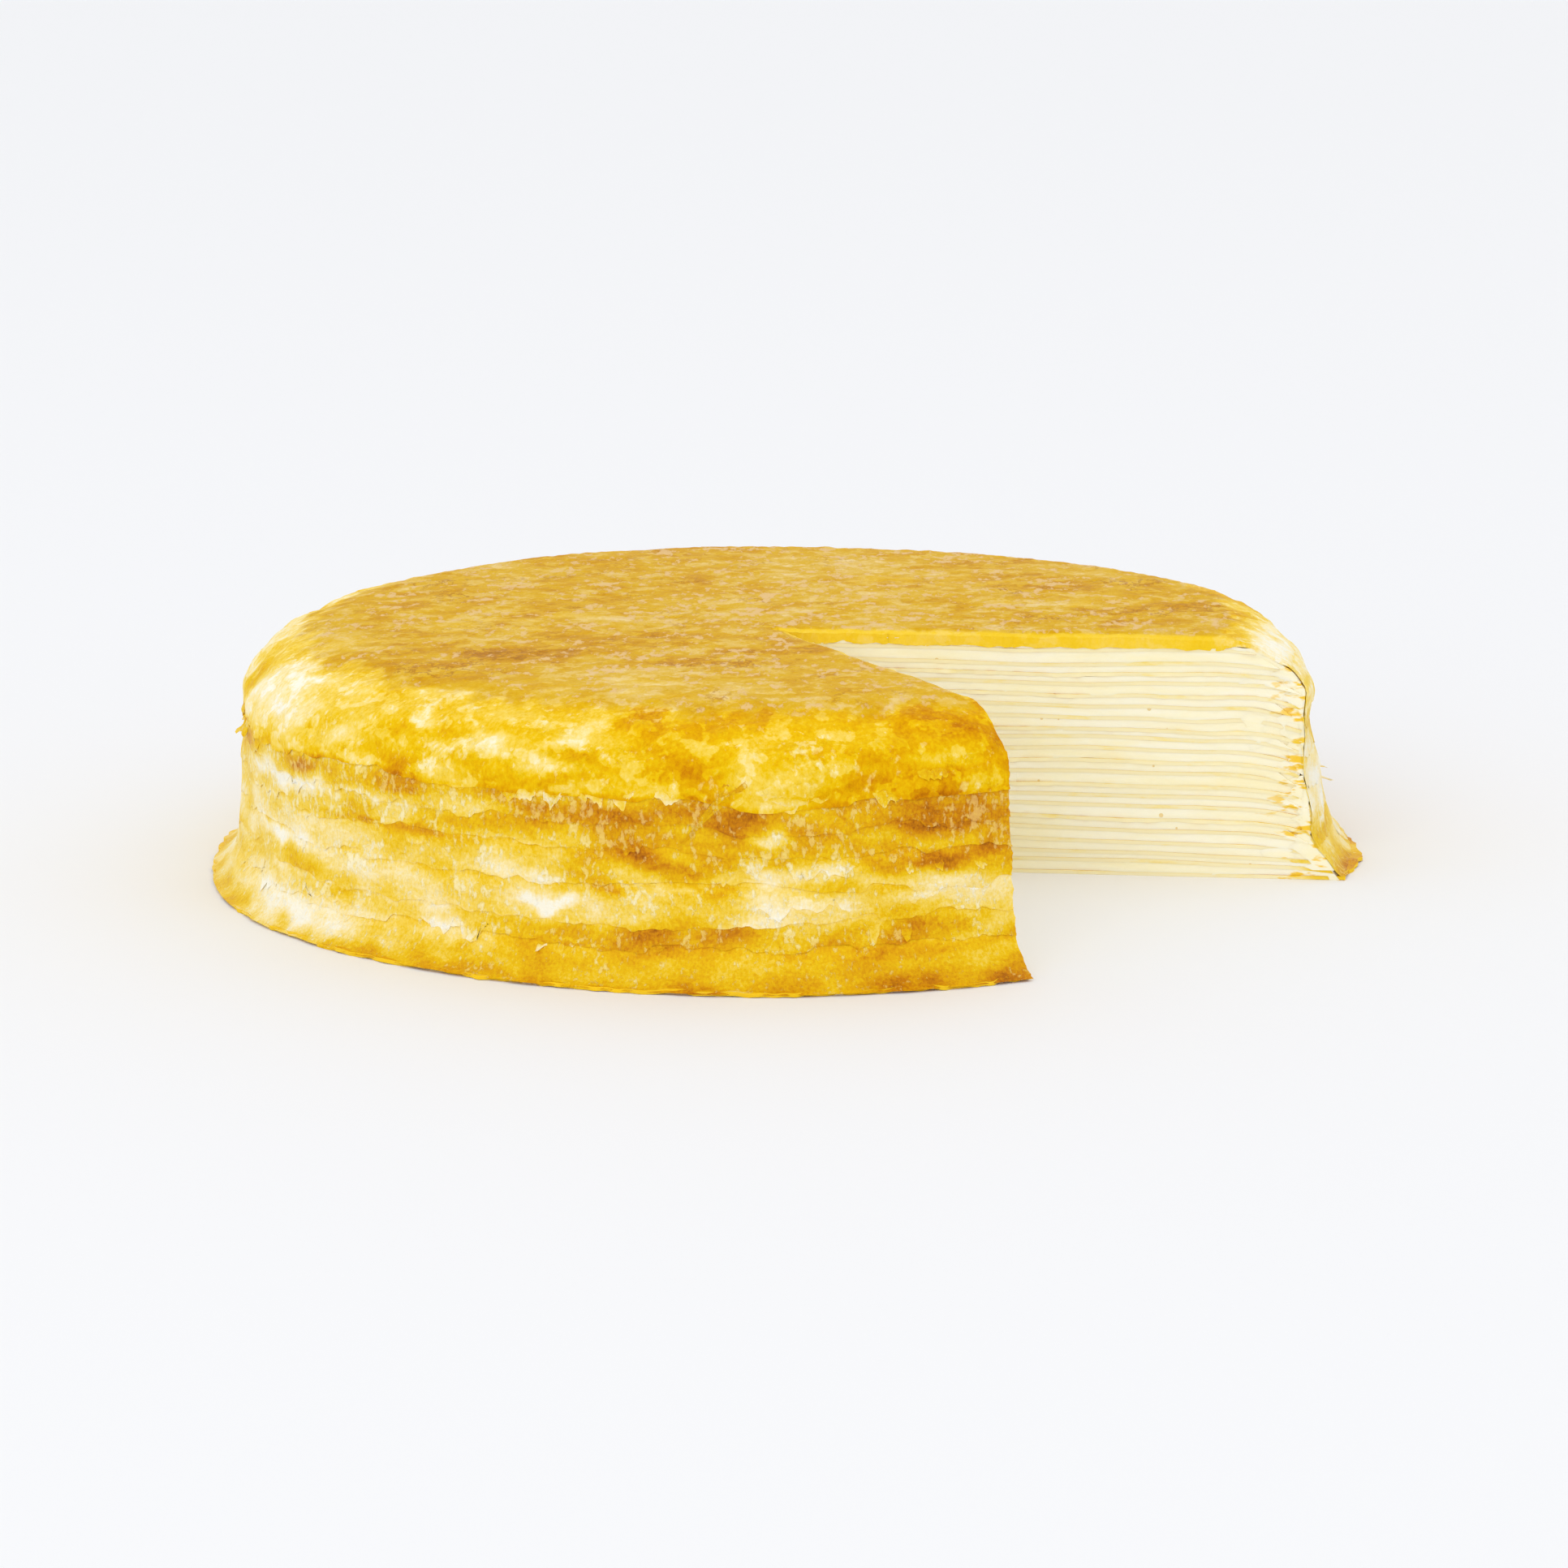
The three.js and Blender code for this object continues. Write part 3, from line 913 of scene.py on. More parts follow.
# %% Patches
# Each patch is an angle in degrees, a height, half a width and half a height in millimetres, and
# how much browner it is, or paler below zero.
PATCHES = (
    (-153, 42.5, 19, 4.0, -0.2), (-153, 48.1, 11, 0.9, -0.3), (-145, 40.3, 2, 2.8, 0.24),
    (-139, 40.9, 5, 2.5, -0.24), (-129, 46.2, 3, 1.4, -0.3), (-121, 44.7, 6, 1.7, -0.24),
    (-130, 39.3, 7, 1.9, -0.1), (-119, 43.1, 3, 1.8, -0.2), (-110, 46.4, 4, 2.0, -0.26),
    (-114, 41.4, 4, 1.6, -0.14), (-104, 43.8, 4, 1.6, -0.08), (-98, 41.4, 9, 3.0, 0.1),
    (-87, 46.0, 7, 1.7, -0.04), (-91, 39.3, 9, 1.7, -0.06), (-76, 42.9, 4, 2.4, -0.14),
    (-73, 37.0, 9, 2.3, 0.08), (-108, 36.6, 15, 1.7, -0.12), (-159, 34.4, 15, 2.8, 0.14),
    (-145, 34.2, 12, 1.3, 0.24), (-130, 34.5, 8, 1.8, 0.26), (-118, 34.0, 9, 1.4, 0.12),
    (-151, 29.4, 20, 2.0, -0.34), (-139, 30.2, 17, 1.5, -0.24), (-143, 25.6, 19, 0.6, 0.16),
    (-126, 31.2, 10, 1.9, -0.12), (-126, 25.8, 10, 1.0, 0.12), (-110, 32.8, 10, 1.3, 0.1),
    (-97, 29.4, 11, 1.9, 0.06), (-91, 29.5, 5, 1.6, -0.46), (-75, 31.0, 10, 3.0, 0.1),
    (-150, 17.7, 12, 1.5, -0.34), (-135, 19.7, 18, 3.6, -0.06), (-116, 24.0, 9, 2.2, -0.04),
    (-105, 25.3, 6, 2.4, 0.2), (-107, 19.1, 3, 2.2, 0.2), (-99, 23.0, 9, 0.9, 0.2),
    (-90, 21.3, 12, 2.0, -0.12), (-72, 23.6, 8, 2.4, 0.22), (-112, 14.8, 7, 1.4, -0.42),
    (-100, 18.9, 7, 0.9, -0.2), (-88, 21.9, 9, 2.5, -0.12), (-80, 23.9, 17, 1.4, 0.08),
    (-81, 19.3, 9, 1.2, 0.1), (-87, 14.1, 10, 2.8, -0.12), (-72, 17.7, 5, 2.2, 0.08),
    (-138, 5.5, 22, 4.1, -0.4), (-153, 4.8, 11, 4.2, -0.26), (-123, 6.8, 13, 2.0, -0.26),
    (-115, 4.2, 7, 0.8, 0.05), (-102, 10.3, 14, 1.8, 0.08), (-81, 7.7, 9, 1.6, 0.1),
    (-71, 8.8, 4, 3.0, -0.04), (-12, 43.0, 26, 6.0, -0.44), (-12, 48.2, 26, 2.6, -0.3),
    (-12, 34.0, 26, 3.0, -0.4), (-12, 28.0, 26, 3.0, -0.36), (-12, 21.0, 26, 4.0, -0.4),
    (-12, 14.0, 26, 3.0, -0.3), (-10, 7.0, 24, 4.0, -0.26), (-6, 2.5, 10, 3.0, -0.2),
    (-77, 22.5, 12, 1.8, 0.28), (-172, 6.0, 16, 5.0, -0.2),
)


def turn_between(angle, other):
    """The turn from one angle to another, the short way round."""
    return np.angle(np.exp(1j * (angle - other)))


def patch_field(angle, height):
    """The sum of all patches at points given by angle and height."""
    total = np.zeros(len(angle))
    for degrees, level, half_width, half_height, change in PATCHES:
        across = turn_between(angle, math.radians(degrees)) * BODY_RADIUS / half_width
        up = (height - level) / half_height
        total += change * np.exp(-(across * across + up * up) ** 1.5)
    return total


print(len(PATCHES), "patches of browning")

# %% [markdown]
# ## The browning of a whole crepe
#
# Each hanging crepe has its own depth of browning, from amber under the top crepe's hem to straw
# at mid height and gold at the plate, and near a hem it takes on some of its neighbour's. The left
# side is paler than the front, and so is the back. The patches lie on top of that.

# %% Browning of the side
BAND_BROWNING = {22: 0.66, 19: 0.84, 17: 0.76, 14: 0.56, 11: 0.4, 9: 0.68, 6: 0.66, 1: 0.62}
# The lace also sets how many painted glints show, so the amber bands get the most.
BAND_LACE = {22: 0.4, 19: 0.9, 17: 0.85, 14: 0.7, 11: 0.6, 9: 0.6, 6: 0.45, 1: 0.25}
BAND_ORDER = list(BAND_BROWNING)
# Where the hem of the crepe above ends, in millimetres.
BAND_TOPS = {22: 60.0, 19: 35.1, 17: 30.6, 14: 25.6, 11: 19.0, 9: 12.6, 6: 7.6, 1: 1.0}
PALE_SIDE = math.radians(-165)
PALE_SIDE_REACH = 0.85
PALE_SIDE_SHARE = 0.42
PALEST = 0.1
MOST_BROWNING = 0.86
GOLDEN_FOOT = 0.12
PALER_BEHIND = 0.22


def side_browning(number, points, toward_hem):
    """How browned each point of a hanging crepe is. Its hem is paler than the rest."""
    own = BAND_BROWNING[number]
    angle = polar(points)[1]
    paler = np.exp(-(turn_between(angle, PALE_SIDE) / PALE_SIDE_REACH) ** 2)
    value = own - PALE_SIDE_SHARE * paler * (own - PALEST)
    value = value + 0.06 * lumps(points, 42, 500 + number, (1, 1, 0.4))
    value = value + 0.05 * lumps(points, 13, 600 + number, (1, 1, 0.4))
    warped = points[:, 2] + 0.5 * lumps(points, 12, 650) + 0.35 * lumps(points, 5, 651)
    turned = angle + 0.008 * lumps(points, 7, 652)
    behind = smooth_step(points[:, 1], -30, 30)
    value = value - PALER_BEHIND * behind * smooth_step(lumps(points, 30, 670, (1, 1, 0.5)), -0.3, 0.8)
    value = np.minimum(value + patch_field(turned, warped), MOST_BROWNING)
    value = value + GOLDEN_FOOT * (1 - smooth_step(warped, 0.6, 2.6))
    place = BAND_ORDER.index(number)
    beneath = BAND_BROWNING[BAND_ORDER[min(place + 1, len(BAND_ORDER) - 1)]]
    above = BAND_BROWNING[BAND_ORDER[max(place - 1, 0)]]
    value = value + 0.5 * (beneath - own) * smooth_step(toward_hem, 0.65, 1.0)
    upper = smooth_step(warped, BAND_TOPS[number] - 2.5, BAND_TOPS[number])
    return value + 0.5 * (above - own) * upper


def side_lace(number, points):
    """How densely pale flecks cover each point of a hanging crepe."""
    value = BAND_LACE[number] + 0.16 * lumps(points, 22, 660, (1, 1, 0.5)) + 0.1 * lumps(points, 8, 661)
    return np.clip(value, 0, 1)


# %% [markdown]
# ## A section that hangs down
#
# A hanging crepe lies flat, sinks, turns over the rim and falls along the side to its hem. Its
# section is a smooth line, and places on it are given by the length along it. That makes the hem
# easy: at each angle the hanging part is stretched or drawn up along the line, so it can be ragged
# without leaving the side.

# %% A section by length
HANG_THICKNESS_SHARE = 0.1
MAY_RISE = 3.0
SECTION_STEP = 0.25


class Section:
    """A smooth line of (radius, height) points, from the axis outwards and down to a hem."""

    def __init__(self, corners, turn_radius, hem, thickness, rounds=30):
        corners = np.array(corners, float)
        run = np.concatenate([[0], np.cumsum(np.hypot(*np.diff(corners, axis=0).T))])
        places = np.arange(0, run[-1], SECTION_STEP)
        line = np.column_stack([np.interp(places, run, corners[:, axis]) for axis in (0, 1)])
        for _ in range(rounds):
            line[1:-1] = (line[:-2] + 2 * line[1:-1] + line[2:]) / 4
        self.line = line
        self.thickness = thickness
        self.run = np.concatenate([[0], np.cumsum(np.hypot(*np.diff(line, axis=0).T))])
        self.turn = float(np.interp(turn_radius, line[:, 0], self.run))
        self.hem_length = self.length_at_height(hem)
        self.may_rise = MAY_RISE

    def at(self, length):
        """Radius and height at lengths along the line."""
        return np.interp(length, self.run, self.line[:, 0]), np.interp(length, self.run, self.line[:, 1])

    def length_at_height(self, height):
        """The length where the falling part passes a height."""
        after = self.run > self.turn
        return float(np.interp(-height, -self.line[after, 1], self.run[after]))

    def share_of(self, length):
        """Nothing where the crepe turns down and one at its hem."""
        return np.clip((length - self.turn) / (self.hem_length - self.turn), 0, 1)

    @staticmethod
    def wall(share):
        """How thick a crepe is, as a share of its thickness, from the turn to the hem."""
        return 1 - (1 - HANG_THICKNESS_SHARE) * smooth_step(share, 0.0, 0.75)

    def inner_radius(self, height):
        """The radius of the inner face at a height of the falling part."""
        length = self.length_at_height(height)
        ahead, behind = (np.array(self.at(length + step)) for step in (SECTION_STEP, -SECTION_STEP))
        steep = abs(ahead[1] - behind[1]) / np.hypot(*(ahead - behind))
        through = self.thickness * self.wall(self.share_of(length)) / max(steep, 0.3)
        return float(self.at(length)[0] - through)


print("a section is a line with a point every", SECTION_STEP, "mm")

# %% [markdown]
# ## The sections of this cake
#
# Each hanging crepe lies just inside the one above it until that one ends, and then comes out to
# the side. So the sections are made from the top down. Further in, each flat layer ends where the
# next hanging crepe falls in front of it.

# %% The hanging sections
HEM_SPARE = 3.0
NEST_GAP = 0.08
HEM_INSET = 0.03
HEIGHT_STEP = 0.5
LOWEST_HEM = 0.25
BASE_HEM = 0.35
HEM_LAP = 1.7
RISE_SHARE = 0.35
TOP_HEM = hem_of(CREPE_COUNT) + 0.4


def turn_height(number):
    """The height where a hanging crepe has turned down."""
    level = LEVELS[number]
    return level - float(droop(level, body_radius(level) - INNER_SETBACK)) - 0.5


def hanging_section(number, hem, hem_above, cover):
    """A crepe that falls just inside the one above it, and past its hem comes out to the side."""
    level = LEVELS[number]
    rim = float(body_radius(level)) - INNER_SETBACK
    flat = [(r, level + CREPE_THICKNESS - float(droop(level, r))) for r in np.linspace(0, rim, 60)]
    lowest = max(LOWEST_HEM, hem - HEM_SPARE)
    heights = np.arange(turn_height(number), lowest, -HEIGHT_STEP)
    covered = [float(side_radius(h)) - cover.inner_radius(max(h, hem_above)) + NEST_GAP for h in heights]
    at_hem = float(side_radius(hem_above)) - cover.inner_radius(hem_above) + NEST_GAP
    emerging = np.interp(heights, [hem, hem_above], [HEM_INSET, at_hem])
    inset = np.where(heights > hem_above, covered, emerging)
    falling = [(float(side_radius(h)) - i, h) for h, i in zip(heights, inset)]
    return Section(flat + falling, rim - 1, hem, CREPE_THICKNESS)


def top_section():
    """The top crepe: nearly flat, over the shoulder and down the side to its own hem."""
    rounded = np.linspace(CAKE_HEIGHT - 0.3, 47, 30)
    upright = np.arange(46.5, TOP_HEM - HEM_SPARE, -HEIGHT_STEP)
    shoulder = [(float(side_radius(h)), h) for h in (*rounded, *upright)]
    corners = [(0, CAKE_HEIGHT), (88, CAKE_HEIGHT - 0.12), *shoulder]
    return Section(corners, BEND_RADIUS, TOP_HEM, TOP_CREPE_THICKNESS, rounds=60)


SECTIONS = {CREPE_COUNT: top_section()}
hem_above = TOP_HEM
cover = SECTIONS[CREPE_COUNT]
for number, beneath in zip(reversed(HANGING_CREPES), (*reversed(HANGING_CREPES[:-1]), None)):
    hem = min(hem_of(number) + 0.6, turn_height(beneath) - HEM_LAP) if beneath else BASE_HEM
    SECTIONS[number] = cover = hanging_section(number, hem, hem_above, cover)
    SECTIONS[number].may_rise = RISE_SHARE * (turn_height(beneath) - hem) if beneath else MAY_RISE
    hem_above = hem


RIM_GAP = 0.3
RIM_GAP_UNDER_DRAPE = 1.8


def rim_under(number, height):
    """Where a layer has to end, so that the next crepe that hangs down closes it."""
    cover = min(n for n in SECTIONS if n > number)
    rim = BEND_RADIUS
    for _ in range(16):
        rim += 0.4 * (SECTIONS[cover].inner_radius(height - float(droop(height, rim))) - rim)
    return rim - (RIM_GAP_UNDER_DRAPE if cover == CREPE_COUNT else RIM_GAP)


print("rims", [round(rim_under(n, LEVELS[n]), 1) for n in (2, 10, 18, 21)])

# %% [markdown]
# ## The unevenness that all layers share
#
# The layers wave up and down together, and a little differently at every height, so no two gaps
# are alike. The side bulges, and it was pressed in at two places when the cake was cut and moved.
# One function does all of that, and every layer's points go through it.

# %% Waves, bulges and presses
WAVE_HEIGHT = 0.3
BULGE = 0.4
FINE_BULGE = 0.09
# Where the side was pressed in: an angle, a height, the reach of each, and how deep.
PRESSES = (
    (math.radians(8), 35.0, 0.37, 12.0, 5.5),
    (math.radians(-63), 32.0, 0.3, 13.0, 3.1),
)
# The back of the cake stands this much lower, from one place across and along the cake to another.
BACK_DIP = 1.5
BACK_DIP_ALONG = (10, 100)
BACK_DIP_ACROSS = (-70, 50)
# Near the plate and the top the layers wave less. The radii are where the bulges begin and are full.
HELD_BY_PLATE = 6
HELD_BY_TOP = 4
BULGE_RADII = (88, 108)
FINE_BULGE_RADII = (108, 113)


def settle(points):
    """Where the uneven stack has points that were placed on an even one."""
    radius, angle = polar(points)
    from_top = CAKE_HEIGHT - points[:, 2]
    free = np.clip(points[:, 2] / HELD_BY_PLATE, 0, 1) * np.clip(from_top / HELD_BY_TOP, 0.25, 1)
    lift = 0.7 * lumps(points, 46, 11, (1, 1, 0.6)) + 0.3 * lumps(points, 17, 12, (1, 1, 0.9))
    outer = smooth_step(radius, *BULGE_RADII)
    bulge = lumps(points, 48, 13, (1, 1, 0.7)) + 0.6 * lumps(points, 19, 14, (1, 1, 0.7))
    bulge = BULGE * bulge * outer * np.clip(points[:, 2] / 5, 0.2, 1)
    fine = lumps(points, 7, 15, (1, 1, 1.4)) * smooth_step(radius, *FINE_BULGE_RADII)
    bulge = bulge + FINE_BULGE * fine
    back = smooth_step(points[:, 1], *BACK_DIP_ALONG) * smooth_step(points[:, 0], *BACK_DIP_ACROSS)
    height = (points[:, 2] + WAVE_HEIGHT * lift * free) * (1 - BACK_DIP / CAKE_HEIGHT * back)
    wide = radius * outline_share(angle) + bulge
    for turn, level, turn_reach, height_reach, depth in PRESSES:
        near = ((angle - turn) / turn_reach) ** 2 + ((points[:, 2] - level) / height_reach) ** 2
        wide -= depth * np.exp(-near) * outer
    return at_angle(wide, angle, height)


# %% [markdown]
# ## The hidden crepes
#
# These lie flat, sink at the rim and stop short of the side. All that shows of them is the fine
# line at the two cuts, so they need few rings, but the ring at the rim is ragged. The cream
# between them is made in the same way, so both share one function.

# %% Hidden crepes
HIDDEN_SEGMENTS = 180
FLAT_ROWS = (0, 14, 28, 42, 56, 70, 82)
EDGE_ROWS = 9
CREPE_RAGGED = 0.5
CREPE_SINK = 0.3


def slope_rim(piece, level, rim, lower_rim):
    """Leans a layer's outer face, so that it stays against the crepe that hangs down outside it."""
    points = points_of(piece)
    lower = painted_on(piece, "face") > 0.5
    radius = polar(points)[0]
    outer = smooth_step(radius, rim - 2.5, rim - 0.5) * lower
    push_out(points, outer * (lower_rim - rim))
    points[:, 2] -= outer * (float(droop(level, lower_rim)) - float(droop(level, rim)))
    move_points(piece, points)


def flat_layer(name, top_level, level, rim, ragged, size, seed, sink=0.0):
    """A flat sheet that sinks at its rim, which is drawn back a little here and there."""
    radii = [*FLAT_ROWS, *np.linspace(BEND_RADIUS - 2, rim, EDGE_ROWS)]
    section = [(radius, top_level - float(droop(level, radius))) for radius in radii]
    piece = turned_sheet(name, section, HIDDEN_SEGMENTS)
    points = points_of(piece)
    radius, angle = polar(points)
    short = smooth_step(radius, BEND_RADIUS, rim) * (ragged * np.abs(lumps(on_circle(angle), size, seed)))
    points[:, :2] *= (1 - short / rim)[:, None]
    points[:, 2] -= sink * short
    move_points(piece, settle(points))
    return piece


def hidden_crepe(number):
    level = LEVELS[number]
    upper = level + CREPE_THICKNESS
    rim = rim_under(number, upper)
    name = f"baked_crepe_{number:02d}"
    piece = flat_layer(name, upper, level, rim, CREPE_RAGGED, 9, 700 + number, CREPE_SINK)
    take_slice_out(piece)
    dress(piece, side_skin, cut_edge)
    paint(piece, "browning", np.full(len(piece.data.vertices), 0.6))
    add_wall(piece, CREPE_THICKNESS)
    slope_rim(piece, level, rim, rim_under(number, level))
    wobble_cuts(piece, 0.05, 9, 40 + number)
    finish_piece(piece, f"crepe_{number:02d}")


hidden = [n for n in range(2, CREPE_COUNT) if n not in HANGING_CREPES]
for number in hidden:
    hidden_crepe(number)
print(len(hidden), "hidden crepes made")

# %% [markdown]
# ## The pastry cream
#
# A cream layer fills the gap between two crepes. It is made as a sheet at the upper crepe's
# underside with a wall as thick as the gap, and a little over, so that no dark slit shows. Its
# cut lies a hair behind the crepes' edges, so that every crepe stands out as a fine line.

# %% Cream layers
CREAM_RECESS = 0.04
CREAM_OVERLAP = 0.15
CREAM_PRESS = 0.05
CREAM_RAGGED = 0.15
FOOT_SETBACK = 0.3


def cream_layer(number):
    """The cream between crepe number and the next one."""
    above = LEVELS[number + 1]
    upper = above + CREAM_OVERLAP
    gap = above - LEVELS[number] - CREPE_THICKNESS
    rim = rim_under(number, upper) + (CREAM_PRESS if number > 1 else -FOOT_SETBACK)
    name = f"spread_cream_{number:02d}"
    piece = flat_layer(name, upper, above, rim, CREAM_RAGGED, 8, 800 + number)
    take_slice_out(piece, recess=CREAM_RECESS)
    dress(piece, pastry_cream)
    add_wall(piece, gap + 2 * CREAM_OVERLAP)
    slope_rim(piece, above, rim, rim_under(number, above - gap - CREAM_OVERLAP) + CREAM_PRESS)
    wobble_cuts(piece)
    finish_piece(piece, f"cream_{number:02d}")


for number in range(1, CREPE_COUNT - 1):
    cream_layer(number)
print(CREPE_COUNT - 2, "cream layers made")

# %% [markdown]
# ## Hems and drapes
#
# The lower edge of a crepe is lacy: thin, drawn up here and hanging lower there. Several sizes of
# lumps on top of each other give that. The drape of the top crepe is lumpy too, and whatever lies
# right beneath it follows the same lumps, so that the two never cross.

# %% Ragged hems and lumps of the drape
DRAPE_START = (0.12, 0.5)
DRAPE_END = (0.8, 1.0)


def ragged_hem(angle, seed, strength):
    """How much lower the hem hangs at each angle, in millimetres. Below zero it is drawn up."""
    ring = on_circle(angle)
    wide = 0.4 + 0.8 * lumps(ring, 60, seed) + 0.4 * lumps(ring, 22, seed + 1)
    lace = 0.22 * lumps(ring, 7, seed + 2) + 0.2 * lumps(ring, 2.6, seed + 3)
    torn = -1.6 * smooth_step(lumps(ring, 14, seed + 4), 0.7, 1.4)
    return strength * (wide + lace + torn)


def drape_share(share):
    """Where the drape is lumpy: not on the flat top, and not at the hem."""
    return smooth_step(share, *DRAPE_START) * (1 - smooth_step(share, *DRAPE_END))


def grain_relief(points):
    """The small unevenness of the whole top crepe."""
    return 0.07 * lumps(points, 3.4, 71) + 0.06 * lumps(points, 7, 72)


def drape_relief(points, on_drape):
    """Lumps of the drape, which what lies beneath it follows."""
    broad = 0.2 * lumps(points, 11, 73, (1, 1, 0.8)) + 0.1 * lumps(points, 6, 74)
    return on_drape * (broad + grain_relief(points))


top_line = SECTIONS[CREPE_COUNT]
DRAPE_HEIGHTS = np.linspace(TOP_HEM, CAKE_HEIGHT - 1, 60)
DRAPE_SHARES = [float(top_line.share_of(top_line.length_at_height(h))) for h in DRAPE_HEIGHTS]


def follow_drape(points, falls):
    """Pushes points under the drape out and in with its lumps."""
    shares = drape_share(np.interp(points[:, 2], DRAPE_HEIGHTS, DRAPE_SHARES))
    push_out(points, drape_relief(points, shares) * (falls > 0))


print("the drape falls", round(top_line.hem_length - top_line.turn, 1), "mm")

# %% [markdown]
# ## The hanging crepes
#
# Each one is turned from its section, and then every column of points is stretched or drawn up to
# end at its ragged hem, where frills stand off the side a little. The rows of points are closer
# together near the hem, where the frills need them.

# %% Hanging crepes
SIDE_SEGMENTS = 960
HANG_ROWS = 18
HANG_FLAT_ROWS = (0, 16, 32, 48, 64, 78, 88)
FRILL_REACH = 2.2
FRILL_STAND = 0.05
BASE_CURL = 0.5
BASE_CURL_REACH = 0.8
BASE_CURL_HEIGHT = 3
FREE_HEM = 0.9
HELD_HEM = 0.12


def hang(piece, section, rows, run_rows, seed, strength, lowest):
    """Places the points of a hanging crepe. Returns how near the hem each one is, from 0 to 1."""
    angle = polar(points_of(piece))[1]
    nominal = np.array(run_rows)[rows]
    drop = ragged_hem(angle, seed, strength)
    drop = np.where(drop < 0, section.may_rise * np.tanh(drop / section.may_rise), drop)
    end = np.minimum(section.hem_length + drop, section.run[-1])
    share = section.share_of(nominal)
    length = np.where(nominal > section.turn, section.turn + share * (end - section.turn), nominal)
    radius, height = section.at(length)
    to_hem = end - length
    frill = np.exp(-to_hem / FRILL_REACH) * (share > 0)
    ring = on_circle(angle)
    stand = 0.5 + 0.5 * lumps(ring, 6, seed + 5) + 0.35 * lumps(ring, 2.4, seed + 6)
    radius = radius + FRILL_STAND * frill * np.maximum(stand, -0.1)
    radius = radius + BASE_CURL * np.exp(-to_hem / BASE_CURL_REACH) * (height < BASE_CURL_HEIGHT)
    placed = settle(at_angle(radius, angle, np.maximum(height, lowest)))
    if section is SECTIONS[HANGING_CREPES[-1]]:
        follow_drape(placed, share)
    move_points(piece, placed)
    return share


def rows_along(section, hang_rows, flat_runs):
    """Lengths of the rows of points: few on the flat part, and closest together at the hem."""
    bend_runs = list(np.linspace(BEND_RADIUS, section.turn, 6))
    shares = 1 - (1 - np.linspace(0, 1, hang_rows + 1)[1:]) ** 1.25
    return [*flat_runs, *bend_runs, *(section.turn + shares * (section.hem_length - section.turn))]


def hanging_crepe(number):
    section = SECTIONS[number]
    run_rows = rows_along(section, HANG_ROWS, HANG_FLAT_ROWS)
    nominal = list(zip(*section.at(np.array(run_rows))))
    piece = turned_sheet(f"baked_crepe_{number:02d}", nominal, SIDE_SEGMENTS)
    rows = rows_of(points_of(piece), nominal)
    strength = HELD_HEM if number == HANGING_CREPES[0] else FREE_HEM
    paint(piece, "hem_share", hang(piece, section, rows, run_rows, 20 * number, strength, BASE_HEM))
    take_slice_out(piece)
    dress(piece, side_skin, cut_edge)
    share = painted_on(piece, "hem_share")
    points = points_of(piece)
    paint(piece, "browning", side_browning(number, points, share))
    paint(piece, "lace", side_lace(number, points))
    add_wall(piece, CREPE_THICKNESS, section.wall(share))
    skin_on_hem(piece)
    wobble_cuts(piece, 0.16, 3.5, 60 + number)
    finish_piece(piece, f"crepe_{number:02d}")


for number in HANGING_CREPES:
    hanging_crepe(number)
print(len(HANGING_CREPES), "hanging crepes made")

# %% [markdown]
# ## The bottom crepe
#
# It lies on the plate and spreads furthest. Its rim shows as a thin golden edge all round, a
# little ragged, and it was drawn outwards beside the far cut.

# %% Bottom crepe
BASE_RADIUS = BODY_RADIUS + BASE_FLARE
BASE_ROWS = (0, 18, 36, 54, 72, 86, 96, 104, 110, 114, 117, 119, 120.5, 121.6, 122.2, BASE_RADIUS)
BASE_SETBACK = 0.9
BASE_SPREAD = 2.8
BASE_SPREAD_REACH = 0.12

section = [(radius, CREPE_THICKNESS) for radius in BASE_ROWS]
base = turned_sheet("baked_crepe_01", section, SIDE_SEGMENTS)
points = points_of(base)
radius, angle = polar(points)
edge = smooth_step(radius, 112, BASE_RADIUS)
ragged = 0.5 * lumps(on_circle(angle), 16, 31) + 0.3 * lumps(on_circle(angle), 4, 32)
spread = np.exp(-(((angle - FAR_CUT) / BASE_SPREAD_REACH) ** 2))
wide = radius * outline_share(angle) + edge * (ragged - BASE_SETBACK + BASE_SPREAD * spread)
height = points[:, 2] + edge * 0.15 * np.abs(lumps(on_circle(angle), 7, 33))
move_points(base, at_angle(wide, angle, height))
take_slice_out(base)
dress(base, side_skin, cut_edge)
points = points_of(base)
paint(base, "browning", side_browning(1, points, np.zeros(len(points))))
paint(base, "lace", side_lace(1, points))
add_wall(base, CREPE_THICKNESS)
finish_piece(base, "crepe_01")
print("bottom crepe reaches", round(float(polar(points)[0].max()), 1), "mm")

# %% [markdown]
# ## The browned crepe on top
#
# It is thicker, covers the stack and hangs over the shoulder to a hem of its own. Its top is
# grained like soft leather and its drape is lumpy, so both get real relief as well as a material.
# Along the cuts its edge is drawn down by the knife, which rounds it into a golden lip.

# %% Top crepe
TOP_SEGMENTS = 560
TOP_ROW_STEP = 2.3
DRAPE_ROWS = 40
LIP_ROWS = (0.35, 0.8, 1.5, 2.4)
LIP_REACH = 2.8
LIP_DROP = 0.9
LIP_THICKNESS = 2.6
TOP_LOWEST = 30.0

run_rows = rows_along(top_line, DRAPE_ROWS, list(np.arange(0, BEND_RADIUS, TOP_ROW_STEP)))
nominal = list(zip(*top_line.at(np.array(run_rows))))
top = turned_sheet("baked_crepe_22", nominal, TOP_SEGMENTS)
rows = rows_of(points_of(top), nominal)
paint(top, "hem_share", hang(top, top_line, rows, run_rows, 900, 0.6, TOP_LOWEST))
take_slice_out(top, edge_rows=LIP_ROWS)
print("top crepe has", len(top.data.polygons), "faces before its wall")


